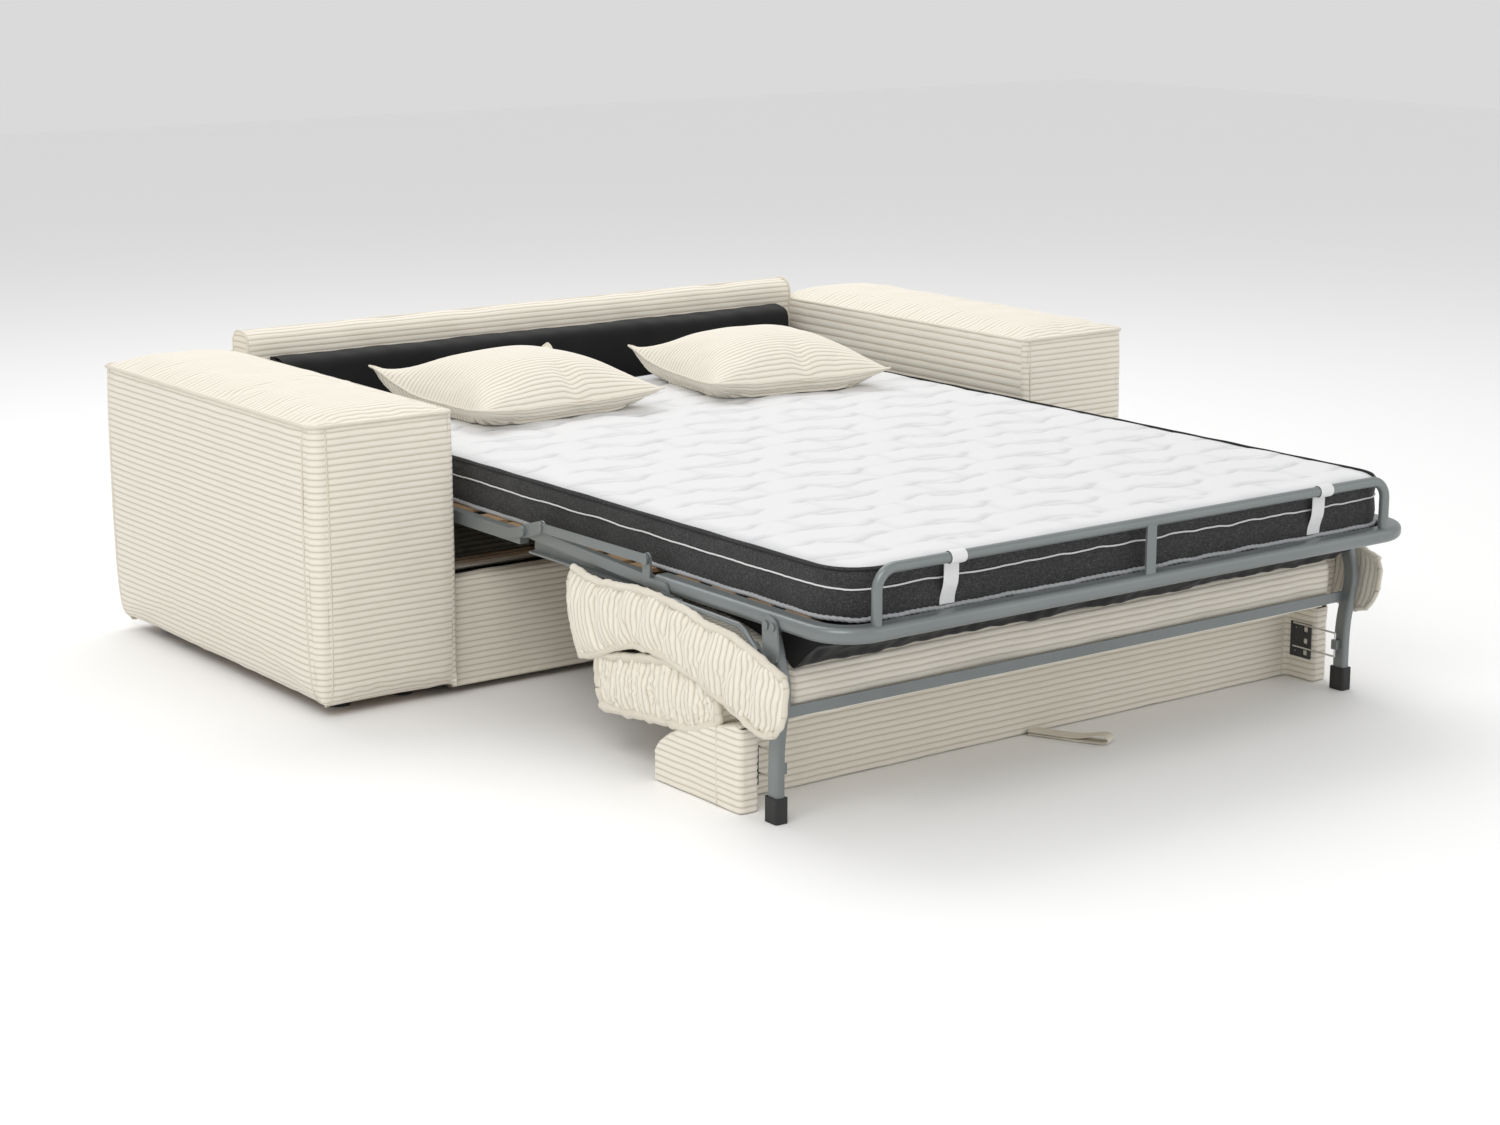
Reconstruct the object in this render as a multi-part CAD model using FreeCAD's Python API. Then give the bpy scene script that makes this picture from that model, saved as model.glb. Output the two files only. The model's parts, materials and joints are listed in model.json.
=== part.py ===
"""Three-seat sleeper sofa with its bed pulled out.

Millimetres, +Z up. The floor is Z = 0, the sofa's width runs along X and its front looks along -Y.
The origin is on the floor under the middle of the whole outline, bed included. Distances along the bed
are written as reach: how far a point lies in front of the arm fronts, negative inside the sofa.
"""

import os

import FreeCAD
import Part

Vector = FreeCAD.Vector

# Driving sizes of the sofa
SOFA_WIDTH = 2184.0
SOFA_DEPTH = 967.0
ARM_WIDTH = 322.0
ARM_HEIGHT = 620.0
BACK_HEIGHT = 648.0
FLOOR_GAP = 22.0
BED_REACH = 1215.0

# Derived half widths: of the whole sofa, and of the space between the arms
HALF = SOFA_WIDTH / 2
INNER = HALF - ARM_WIDTH

# Driving sizes of the mattress
MATTRESS_LENGTH = 1900.0
MATTRESS_THICK = 103.0
MATTRESS_FOOT = 1175.0
MATTRESS_Z = 382.0
MATTRESS_CORNER = 85.0

# Pivots of the folding frame, as (reach, height)
HEAD_PIVOT = (223.0, 388.0)
BAR_REAR_PIVOT = (290.0, 408.0)
BAR_FRONT_PIVOT = (650.0, 412.0)
FOOT_PIVOT = (647.0, 369.0)
LEG_PIVOT = (1018.0, 362.0)
ROD_PIVOT = (1012.0, 302.0)

# Sideways places of the frame's layers, measured out from the middle
RAIL_OUT = INNER - 24
RAIL_WIDE = 20.0
PLATE = 4.0
SLIP = 0.3
PIN_R = 5.0
PIN_FIT = 0.05

# The bent outer tube of the foot section
TUBE_WIDE = 42.0
TUBE_TALL = 30.0
TUBE_Z = 354.0
TUBE_CORNER = 95.0

# The cushions, the backrest and what joins it to the legs
CUSHION_HALF = INNER + 5
NOTCH_OUT = CUSHION_HALF - 13
NOTCH_IN = RAIL_OUT - 30
SHELL_HALF = INNER - 2
WING_IN = SHELL_HALF - 44
WIRE_R = 2.0
WIRE_X = WING_IN - 3 - WIRE_R
WIRE_FRONT = 1027.0
ROD_STUD = (716.0, 350.0)

# Derived places
MATTRESS_WIDTH = 2 * (RAIL_OUT - 46)
FRONT_Y = (BED_REACH - SOFA_DEPTH) / 2
PLATE_OUT = RAIL_OUT + PLATE
BAR_IN = PLATE_OUT + SLIP
BAR_OUT = BAR_IN + PLATE
PIN_OUT = BAR_OUT + 3.0
MATTRESS_TOP = MATTRESS_Z + MATTRESS_THICK
SLAT_THICK = 8.0
SLAT_Z = MATTRESS_Z - SLAT_THICK


def point(x, reach, z):
    return Vector(x, FRONT_Y - reach, z)


def box(x0, x1, r0, r1, z0, z1):
    """A box between two sideways places, two reaches and two heights."""
    return Part.makeBox(x1 - x0, r1 - r0, z1 - z0, point(x0, r1, z0))


def face_from(steps, place):
    """A flat face round a closed outline.

    Each step is (a, b) for a straight run to that point, or (a, b, through_a, through_b) for an arc.
    """
    edges = []
    last = place(steps[-1][0], steps[-1][1])
    for step in steps:
        here = place(step[0], step[1])
        if here.isEqual(last, 0.001):
            continue
        if len(step) == 4:
            through = place(step[2], step[3])
            edges.append(Part.Arc(last, through, here).toShape())
        else:
            edges.append(Part.makeLine(last, here))
        last = here
    return Part.Face(Part.Wire(edges))


def side_form(steps, x0, x1):
    """A side view outline in (reach, height), carried across from x0 to x1."""
    face = face_from(steps, lambda a, b: point(x0, a, b))
    return face.extrude(Vector(x1 - x0, 0, 0))


def front_form(steps, r0, r1):
    """A front view outline in (x, height), carried along from reach r0 to r1."""
    face = face_from(steps, lambda a, b: point(a, r0, b))
    return face.extrude(Vector(0, r0 - r1, 0))


def plan_form(steps, z0, z1):
    """A top view outline in (x, reach), carried up from z0 to z1."""
    face = face_from(steps, lambda a, b: point(a, b, z0))
    return face.extrude(Vector(0, 0, z1 - z0))


def disc(centre, radius, x0, x1):
    """A round along X about a (reach, height) centre."""
    return Part.makeCylinder(radius, x1 - x0, point(x0, centre[0], centre[1]), Vector(1, 0, 0))


def strap_plate(start, end, radius, x0, x1):
    """A flat plate or bar with two round ends, lying in the side view."""
    run = Vector(end[0] - start[0], end[1] - start[1], 0)
    side = Vector(-run.y, run.x, 0)
    side.normalize()
    side.multiply(radius)
    corners = [
        (start[0] + side.x, start[1] + side.y),
        (start[0] - side.x, start[1] - side.y),
        (end[0] - side.x, end[1] - side.y),
        (end[0] + side.x, end[1] + side.y),
    ]
    plate = side_form(corners, x0, x1)
    plate = plate.fuse(disc(start, radius, x0, x1))
    plate = plate.fuse(disc(end, radius, x0, x1))
    return plate.removeSplitter()


def round_rod(points, radius):
    """A round rod through a list of points, with a ball at each bend."""
    rod = None
    for start, end in zip(points, points[1:]):
        run = end.sub(start)
        part = Part.makeCylinder(radius, run.Length, start, run)
        rod = part if rod is None else rod.fuse(part)
    for bend in points[1:-1]:
        rod = rod.fuse(Part.makeSphere(radius, bend))
    return rod.removeSplitter()


def mirrored(shape):
    return shape.mirror(Vector(0, 0, 0), Vector(1, 0, 0))


def rounded(shape, radius, choose):
    """The shape with the chosen edges rounded."""
    edges = [edge for edge in shape.Edges if choose(edge)]
    return shape.makeFillet(radius, edges)


def upright(edge):
    first, last = edge.Vertexes[0].Point, edge.Vertexes[-1].Point
    return abs(first.x - last.x) < 0.01 and abs(first.y - last.y) < 0.01


def level_at(z):
    def choose(edge):
        limits = edge.BoundBox
        return abs(limits.ZMin - z) < 0.01 and abs(limits.ZMax - z) < 0.01

    return choose


PARTS = {}


def keep(name, shape):
    PARTS[name] = shape


def keep_pair(name, right_shape):
    """Keeps a piece made for the +X side and its mirror image for the -X side."""
    keep(name + "_right", right_shape)
    keep(name + "_left", mirrored(right_shape))


def keep_both(name, right_shape):
    """Keeps two small identical pieces, one on each side, together in one node."""
    keep(name, Part.makeCompound(right_shape.Solids + mirrored(right_shape).Solids))


def arms():
    """Each arm is a boxed carcass under a padded cover with a crowned top."""
    seam_z = ARM_HEIGHT - 22
    front_view = [
        (INNER, FLOOR_GAP),
        (HALF - 40, FLOOR_GAP),
        (HALF - 8, 70, HALF - 18, FLOOR_GAP + 12),
        (HALF - 4, seam_z, HALF, 330),
        (INNER, seam_z, (INNER + HALF) / 2, ARM_HEIGHT),
    ]
    crowned = front_form(front_view, -SOFA_DEPTH, 0)
    back = -SOFA_DEPTH
    side_view = [
        (-45, FLOOR_GAP),
        (-7, 75, -20, FLOOR_GAP + 14),
        (-5, seam_z, 0, 320),
        (back + 5, seam_z, back / 2, ARM_HEIGHT + 4),
        (back + 8, 75, back, 320),
        (back + 45, FLOOR_GAP, back + 20, FLOOR_GAP + 14),
    ]
    crowned = crowned.common(side_form(side_view, INNER - 1, HALF + 1))
    corner = 26.0
    bend = corner * 0.29
    plan_view = [
        (INNER, back),
        (HALF - corner, back),
        (HALF, back + corner, HALF - bend, back + bend),
        (HALF, -corner),
        (HALF - corner, 0, HALF - bend, -bend),
        (INNER + 12, 0),
        (INNER, -12, INNER + 3.5, -3.5),
    ]
    crowned = crowned.common(plan_form(plan_view, 0, ARM_HEIGHT + 10))
    wall = 22.0
    case = (INNER + wall, HALF - 48, back + 40, -40)
    top = ARM_HEIGHT - 50
    carcass_space = box(*case, FLOOR_GAP, top)
    keep_pair("arm_cover", crowned.cut(carcass_space))
    base = 18.0
    hollow = box(case[0] + 18, case[1] - 18, case[2] + 18, case[3] - 18, FLOOR_GAP + base, top - 18)
    carcass = box(*case, FLOOR_GAP + base, top).cut(hollow)
    keep_both("arm_carcasses", carcass)
    keep_both("arm_base_boards", box(*case, FLOOR_GAP, FLOOR_GAP + base))
    glides = None
    for reach in (-110, back + 110):
        for x in (INNER + 75, HALF - 100):
            glide = Part.makeCone(24, 28, FLOOR_GAP, point(x, reach, 0))
            glides = glide if glides is None else glides.fuse(glide)
    keep_both("arm_glides", glides)


def back_and_base():
    """The low back behind the bed, the base's front rail and its dust cover."""
    back = -SOFA_DEPTH
    face = -898.0
    cover = side_form(
        [
            (face, FLOOR_GAP),
            (face, BACK_HEIGHT - 16),
            (back + 3, BACK_HEIGHT - 16, (face + back) / 2, BACK_HEIGHT),
            (back, FLOOR_GAP + 20),
            (back + 10, FLOOR_GAP),
        ],
        -INNER,
        INNER,
    )
    board_space = (-INNER, INNER, -948, -923, FLOOR_GAP, BACK_HEIGHT - 60)
    keep("back_cover", cover.cut(box(*board_space)))
    keep("back_board", box(*board_space))
    lining_half = INNER - 55
    keep("back_lining", box(-lining_half, lining_half, face, -826, 250, BACK_HEIGHT - 58))
    rail_back = -66.0
    rail = side_form(
        [
            (-30, 15),
            (-30, 236),
            (-41, 247, -33, 244),
            (rail_back, 247),
            (rail_back, 15),
        ],
        -INNER,
        INNER,
    )
    rail_space = (-INNER, INNER, -60, -38, 15, 238)
    keep("front_rail_cover", rail.cut(box(*rail_space)))
    keep("front_rail_board", box(*rail_space))
    keep("dust_cover", box(-INNER, INNER, face, rail_back, FLOOR_GAP, FLOOR_GAP + 3))


def fixed_mechanism():
    """What is fixed to the sofa: side plates, cross tubes, the head section's rails and slats."""
    plate_in = INNER - 6
    plate = box(plate_in, INNER, -660, -70, 225, 396)
    keep_both("side_plates", plate)
    rail_z0 = MATTRESS_Z - 24
    rail_z1 = MATTRESS_Z + 2
    rail = box(RAIL_OUT - RAIL_WIDE, RAIL_OUT, -700, HEAD_PIVOT[0] - 18, rail_z0, rail_z1)
    keep_both("head_rails", rail)
    bosses = None
    for reach in (-120, -600):
        boss = disc((reach, (rail_z0 + rail_z1) / 2), 11, RAIL_OUT, plate_in)
        bosses = boss if bosses is None else bosses.fuse(boss)
    keep_both("rail_bosses", bosses)
    bolts = None
    for reach, z in ((-160, 250), (-560, 250), (-160, 340), (-560, 340)):
        bolt = disc((reach, z), 8, plate_in - 5, plate_in)
        bolts = bolt if bolts is None else bolts.fuse(bolt)
    keep_both("side_plate_bolts", bolts)
    tubes = disc((-84, 260), 16, -plate_in, plate_in).fuse(disc((-600, 260), 16, -plate_in, plate_in))
    keep("base_cross_tubes", tubes)
    inside = RAIL_OUT - RAIL_WIDE
    keep("head_cross_tube", box(-inside, inside, -700, -676, rail_z0, rail_z1 - 4))
    slats = None
    for reach in (-600, -470, -340, -210, -80, 50, 150):
        slat = box(-inside, inside, reach - 35, reach + 35, SLAT_Z, MATTRESS_Z)
        slats = slat if slats is None else slats.fuse(slat)
    keep("head_slats", slats)
    plate = strap_plate((165, 374), HEAD_PIVOT, 10, RAIL_OUT, PLATE_OUT)
    plate = plate.fuse(strap_plate(HEAD_PIVOT, BAR_REAR_PIVOT, 13, RAIL_OUT, PLATE_OUT)).removeSplitter()
    plate = plate.cut(disc(HEAD_PIVOT, PIN_R + PIN_FIT, RAIL_OUT - 1, PLATE_OUT + 1))
    plate = plate.cut(disc(BAR_REAR_PIVOT, PIN_R, RAIL_OUT - 1, PLATE_OUT + 1))
    keep_both("head_hinge_plates", plate)
    pin = disc(BAR_REAR_PIVOT, PIN_R, RAIL_OUT, BAR_OUT + SLIP)
    pin = pin.fuse(disc(BAR_REAR_PIVOT, 11, BAR_OUT + SLIP, PIN_OUT))
    keep_both("bar_rear_pins", pin)


def middle_section():
    """The short section between the two hinges: a tube, the angle under it, and slats."""
    tube_in = RAIL_OUT - 15
    tube_out = RAIL_OUT - SLIP
    tube = strap_plate(HEAD_PIVOT, FOOT_PIVOT, 11, tube_in, tube_out)
    tube = tube.cut(disc(HEAD_PIVOT, PIN_R, tube_in - 1, tube_out + 1))
    tube = tube.cut(disc(FOOT_PIVOT, PIN_R, tube_in - 1, tube_out + 1))
    keep_both("middle_tubes", tube)
    web_in = tube_in - 6
    web = side_form([(236, 346), (600, 346), (634, 358), (634, 380), (600, 382), (236, 382)], web_in, tube_in)
    flange = side_form([(236, 346), (600, 346), (612, 350.2), (236, 350.2)], tube_in, tube_out)
    keep_both("middle_angles", web.fuse(flange).removeSplitter())
    slats = None
    for reach in (300, 400, 500, 585):
        slat = box(-web_in, web_in, reach - 30, reach + 30, SLAT_Z, MATTRESS_Z)
        slats = slat if slats is None else slats.fuse(slat)
    keep("middle_slats", slats)
    pin = disc(HEAD_PIVOT, PIN_R, tube_in, PLATE_OUT + SLIP)
    keep_both("head_pivot_pins", pin.fuse(disc(HEAD_PIVOT, 11, PLATE_OUT + SLIP, PIN_OUT)))
    keep_both("foot_pivot_pins", disc(FOOT_PIVOT, PIN_R, tube_in, PLATE_OUT))


def link_bars():
    """The flat bars beside the middle section, on their own pivots."""
    bar = strap_plate(BAR_REAR_PIVOT, BAR_FRONT_PIVOT, 9, BAR_IN, BAR_OUT)
    bar = bar.cut(disc(BAR_REAR_PIVOT, PIN_R + PIN_FIT, BAR_IN - 1, BAR_OUT + 1))
    bar = bar.cut(disc(BAR_FRONT_PIVOT, PIN_R, BAR_IN - 1, BAR_OUT + 1))
    keep_both("link_bars", bar)
    pin = disc(BAR_FRONT_PIVOT, PIN_R, BAR_IN, BAR_OUT)
    pin = pin.fuse(disc(BAR_FRONT_PIVOT, 11, BAR_OUT, PIN_OUT))
    keep_both("bar_front_pins", pin)


def foot_tube():
    """The bent tube round the foot section, flat-oval in section."""
    out_x = RAIL_OUT - 1
    start = FOOT_PIVOT[0] + 18
    big = TUBE_CORNER
    small = TUBE_CORNER - TUBE_WIDE
    in_x = out_x - TUBE_WIDE
    far = BED_REACH
    near = far - TUBE_WIDE
    bend = big * 0.2929
    inner_bend = small * 0.2929
    steps = [
        (out_x, start),
        (out_x, far - big),
        (out_x - big, far, out_x - bend, far - bend),
        (-out_x + big, far),
        (-out_x, far - big, -out_x + bend, far - bend),
        (-out_x, start),
        (-in_x, start),
        (-in_x, near - small),
        (-in_x + small, near, -in_x + inner_bend, near - inner_bend),
        (in_x - small, near),
        (in_x, near - small, in_x - inner_bend, near - inner_bend),
        (in_x, start),
    ]
    tube = plan_form(steps, TUBE_Z, TUBE_Z + TUBE_TALL)

    def long_edge_at(z):
        def choose(edge):
            return level_at(z)(edge) and edge.BoundBox.YMin < FRONT_Y - start - 1

        return choose

    tube = rounded(tube, 13.0, long_edge_at(TUBE_Z))
    return rounded(tube, 12.0, long_edge_at(TUBE_Z + TUBE_TALL))


def foot_section():
    """The foot section's frame, its guard, hinge plates, brackets and slats."""
    tube = foot_tube()
    keep("foot_frame_tube", tube)
    in_x = RAIL_OUT - 1 - TUBE_WIDE
    slats = None
    for reach in (720, 830, 940, 1050):
        slat = box(-in_x - 6, in_x + 6, reach - 35, reach + 35, SLAT_Z - 1, MATTRESS_Z)
        slats = slat if slats is None else slats.fuse(slat)
    keep("foot_slats", slats.cut(tube))

    plate = strap_plate(BAR_FRONT_PIVOT, FOOT_PIVOT, 12, RAIL_OUT, PLATE_OUT)
    plate = plate.fuse(strap_plate(FOOT_PIVOT, (706, 369), 9, RAIL_OUT, PLATE_OUT)).removeSplitter()
    plate = plate.cut(disc(FOOT_PIVOT, PIN_R + PIN_FIT, RAIL_OUT - 1, PLATE_OUT + 1))
    plate = plate.cut(disc(BAR_FRONT_PIVOT, PIN_R, RAIL_OUT - 1, PLATE_OUT + 1))
    plate = plate.fuse(strap_plate((706, 369), ROD_STUD, 9, RAIL_OUT, PLATE_OUT))
    plate = plate.fuse(box(RAIL_OUT - 10, RAIL_OUT, 672, 706, 364, 374)).removeSplitter()
    keep_both("foot_hinge_plates", plate.cut(tube))

    guard_reach = BED_REACH - 16
    guard_top = MATTRESS_TOP - 4
    guard_foot = TUBE_Z + TUBE_TALL
    post_x = RAIL_OUT - 98
    turn = 38.0
    radius = 10.0
    posts = []
    for sign in (-1, 1):
        posts.append(
            Part.makeCylinder(
                radius, guard_top - turn - guard_foot + 14, point(sign * post_x, guard_reach, guard_foot - 14)
            )
        )
        elbow_centre = point(sign * (post_x - turn), guard_reach, guard_top - turn)
        ring = Part.makeTorus(turn, radius, elbow_centre, Vector(0, 1, 0))
        low = sign * (post_x - turn)
        high = sign * (post_x + radius + 5)
        corner = (min(low, high), max(low, high), guard_reach - 20, guard_reach + 20)
        quarter = box(*corner, guard_top - turn, guard_top + 20)
        posts.append(ring.common(quarter))
    bar = Part.makeCylinder(
        radius, 2 * (post_x - turn), point(-post_x + turn, guard_reach, guard_top), Vector(1, 0, 0)
    )
    guard = bar
    for piece in posts:
        guard = guard.fuse(piece)
    keep("foot_guard", guard.removeSplitter().cut(tube))
    post = box(-12, 12, guard_reach + 4, guard_reach + 9, guard_foot - 20, guard_top)
    keep("guard_centre_post", post.cut(tube).cut(PARTS["foot_guard"]))
    strap_in = MATTRESS_FOOT
    straps = []
    strap_x = RAIL_OUT - 276
    for middle in (-strap_x, strap_x):
        strap = side_form(
            [
                (guard_reach - 12.5, guard_top + 2),
                (guard_reach - 12.5, 428),
                (strap_in, 404),
                (strap_in, 391),
                (strap_in + 2.5, 391),
                (strap_in + 2.5, 403),
                (guard_reach - 10, 427),
                (guard_reach - 10, guard_top + 2),
            ],
            middle - 17.5,
            middle + 17.5,
        )
        loop = disc((guard_reach, guard_top), 12.5, middle - 17.5, middle + 17.5)
        strap = strap.fuse(loop)
        strap = strap.cut(disc((guard_reach, guard_top), radius, middle - 20, middle + 20))
        straps.append(strap.cut(tube))
    keep("mattress_straps", Part.makeCompound(straps))

    bracket_steps = [(998, 354), (998, 330), (1005, 300), (1012, 300), (1023, 330), (1025, 354)]
    bracket_out = RAIL_OUT - 20 - SLIP
    bracket = side_form(bracket_steps, bracket_out - PLATE, bracket_out)
    keep_both("leg_brackets", bracket)
    pin = disc(LEG_PIVOT, PIN_R, RAIL_OUT - 12, PLATE_OUT + 2 * SLIP)
    pin = pin.fuse(disc(LEG_PIVOT, 8, PLATE_OUT + 2 * SLIP, PLATE_OUT + 3.5))
    keep_both("leg_pivot_rivets", pin.cut(tube))


def mattress():
    """One mattress in five lengths: three stay stiff, and the two between them fold."""
    head = MATTRESS_FOOT - MATTRESS_LENGTH
    cuts = (head, 110.0, 340.0, 530.0, 790.0, MATTRESS_FOOT)
    half = MATTRESS_WIDTH / 2
    corner = MATTRESS_CORNER
    bend = corner * 0.2929
    whole = plan_form(
        [
            (half, head + corner),
            (half, MATTRESS_FOOT - corner),
            (half - corner, MATTRESS_FOOT, half - bend, MATTRESS_FOOT - bend),
            (-half + corner, MATTRESS_FOOT),
            (-half, MATTRESS_FOOT - corner, -half + bend, MATTRESS_FOOT - bend),
            (-half, head + corner),
            (-half + corner, head, -half + bend, head + bend),
            (half - corner, head),
            (half, head + corner, half - bend, head + bend),
        ],
        MATTRESS_Z,
        MATTRESS_TOP,
    )
    whole = rounded(whole, 12.0, level_at(MATTRESS_TOP))
    whole = rounded(whole, 8.0, level_at(MATTRESS_Z))
    names = ("mattress_head", "mattress_rear_fold", "mattress_middle", "mattress_front_fold", "mattress_foot")
    for name, near, far in zip(names, cuts, cuts[1:]):
        keep(name, whole.common(box(-half - 5, half + 5, near, far, MATTRESS_Z - 5, MATTRESS_TOP + 5)))


def leg_form():
    """A bowed flat-oval leg tube."""
    middles = [(1019, 346), (1029, 320), (1037, 293), (1048, 250), (1043, 205), (1033, 150), (1030, 90), (1030, 5)]
    half_depth = 15.0
    x_in, x_out = RAIL_OUT - 20, RAIL_OUT
    front_edge = Part.BSplineCurve()
    front_edge.interpolate([point(x_in, reach + half_depth, z) for reach, z in middles])
    rear_edge = Part.BSplineCurve()
    rear_edge.interpolate([point(x_in, reach - half_depth, z) for reach, z in reversed(middles)])
    foot = Part.makeLine(front_edge.EndPoint, rear_edge.StartPoint)
    top = Part.makeLine(rear_edge.EndPoint, front_edge.StartPoint)
    wire = Part.Wire([front_edge.toShape(), foot, rear_edge.toShape(), top])
    leg = Part.Face(wire).extrude(Vector(x_out - x_in, 0, 0))
    return rounded(leg, 6.0, lambda edge: edge.BoundBox.ZLength > 250)


def legs():
    """The legs with their shoes, cross bar and the keepers for the backrest's staples."""
    head = side_form(
        [(1006, 360), (1050, 360, 1028, 381), (1053, 322), (1047, 300), (1027, 289), (1008, 294)],
        RAIL_OUT + SLIP,
        PLATE_OUT + SLIP,
    )
    head = head.fuse(disc(ROD_PIVOT, 10, RAIL_OUT + SLIP, PLATE_OUT + SLIP))
    head = head.cut(disc(LEG_PIVOT, PIN_R + PIN_FIT, RAIL_OUT - 1, PLATE_OUT + 2))
    head = head.cut(disc(ROD_PIVOT, PIN_R - 1, RAIL_OUT - 1, PLATE_OUT + 2))
    web = box(RAIL_OUT - 8, RAIL_OUT + SLIP, 1017, 1030, 300, 338)
    body = leg_form().fuse(head).fuse(web).removeSplitter()
    body = body.fuse(disc((LEG_PIVOT[0] + 20, LEG_PIVOT[1]), 7, PLATE_OUT + SLIP, PLATE_OUT + 3.5)).removeSplitter()
    keep_pair("leg", body)
    shoe = rounded(box(RAIL_OUT - 24, RAIL_OUT + 4, 1011, 1049, 0, 47), 6.0, upright)
    keep_both("leg_shoes", shoe.cut(body))
    inside = RAIL_OUT - 20
    keep("leg_cross_bar", box(-inside, inside, 1031, 1035, 189, 210))
    keeper = box(WIRE_X - 4, inside, 1020, 1034, 86, 106)
    keeper = keeper.cut(Part.makeCylinder(WIRE_R + PIN_FIT, 40, point(WIRE_X, WIRE_FRONT, 76)))
    keep_both("staple_keepers", keeper)
    wire = round_rod(
        [
            point(WIRE_X, 912, 70),
            point(WIRE_X, WIRE_FRONT, 70),
            point(WIRE_X, WIRE_FRONT, 120),
            point(WIRE_X, 912, 120),
        ],
        WIRE_R,
    )
    keep_both("backrest_staples", wire)


def control_rods():
    """The cranked rod from the foot frame to each leg; its rear end slides on a stud."""
    layer_in = PLATE_OUT + 2 * SLIP
    layer_out = layer_in + PLATE
    flat = strap_plate(ROD_STUD, (762, 352), 6, layer_in, layer_out)
    flat = flat.fuse(strap_plate((ROD_STUD[0] - 12, ROD_STUD[1] + 2), ROD_STUD, 9, layer_in, layer_out))
    flat = flat.fuse(strap_plate((992, 319), ROD_PIVOT, 8, layer_in, layer_out))
    radius = 5.2
    middle = layer_in + radius
    bent = round_rod(
        [point(middle, 744, 352), point(middle, 946, 348), point(middle, 965, 340), point(middle, 1000, 312)],
        radius,
    )
    rod = flat.fuse(bent).removeSplitter()
    slot = strap_plate(
        (ROD_STUD[0] - 9, ROD_STUD[1] + 1.5), (ROD_STUD[0] + 2, ROD_STUD[1] - 0.3), 4.7, layer_in - 1, layer_out + 1
    )
    rod = rod.cut(slot)
    rod = rod.cut(disc(ROD_PIVOT, PIN_R - 1 + PIN_FIT, layer_in - 1, layer_out + 1))
    keep_both("leg_control_rods", rod)
    pin = disc(ROD_PIVOT, PIN_R - 1, RAIL_OUT + SLIP, layer_out + SLIP)
    pin = pin.fuse(disc(ROD_PIVOT, 8, layer_out + SLIP, layer_out + 3))
    keep_both("leg_rod_pins", pin)
    stud = disc(ROD_STUD, 4.0, PLATE_OUT, layer_out + SLIP)
    stud = stud.fuse(disc(ROD_STUD, 7, layer_out + SLIP, layer_out + 3))
    keep_both("rod_slide_studs", stud)


def seat_cushion():
    """The seat cushion hanging under the foot section, and the black pad between them."""
    outline = [
        (411, 283),
        (430, 357, 412, 330),
        (498, 345),
        (677, 356, 590, 351),
        (858, 334, 769, 350),
        (1001, 311, 933, 328),
        (1096, 278),
        (1070, 176, 1092, 222),
        (1001, 172, 1035, 166),
        (743, 243, 872, 213),
        (560, 224, 650, 247),
        (495, 198),
        (449, 186, 470, 184),
    ]
    form = side_form(outline, -CUSHION_HALF, CUSHION_HALF)
    top = [(400, 338), (769, 338), (858, 331), (933, 317), (985, 298), (1022, 272)]
    above = side_form(top + [(1120, 272), (1120, 420), (400, 420)], -NOTCH_OUT, NOTCH_OUT)
    form = form.cut(above)
    form = form.cut(box(-NOTCH_OUT, NOTCH_OUT, top[-1][0], 1120, 100, 400))
    for x0, x1 in ((-NOTCH_OUT, -NOTCH_IN), (NOTCH_IN, NOTCH_OUT)):
        form = form.cut(box(x0, x1, 978, 1120, 100, 400))
    keep("seat_cushion", form)
    in_x = RAIL_OUT - 1 - TUBE_WIDE
    under = [(1022, 272), (985, 298), (933, 317), (858, 331), (769, 338), (672, 338)]
    front = [(672, 373), (1172, 373), (1172, 360), (1130, 341), (1085, 322), (1040, 292, 1060, 309)]
    pad = side_form(front + under, -in_x + 1, in_x - 1)
    keep("seat_pad_black", pad.cut(PARTS["foot_frame_tube"]))


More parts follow.
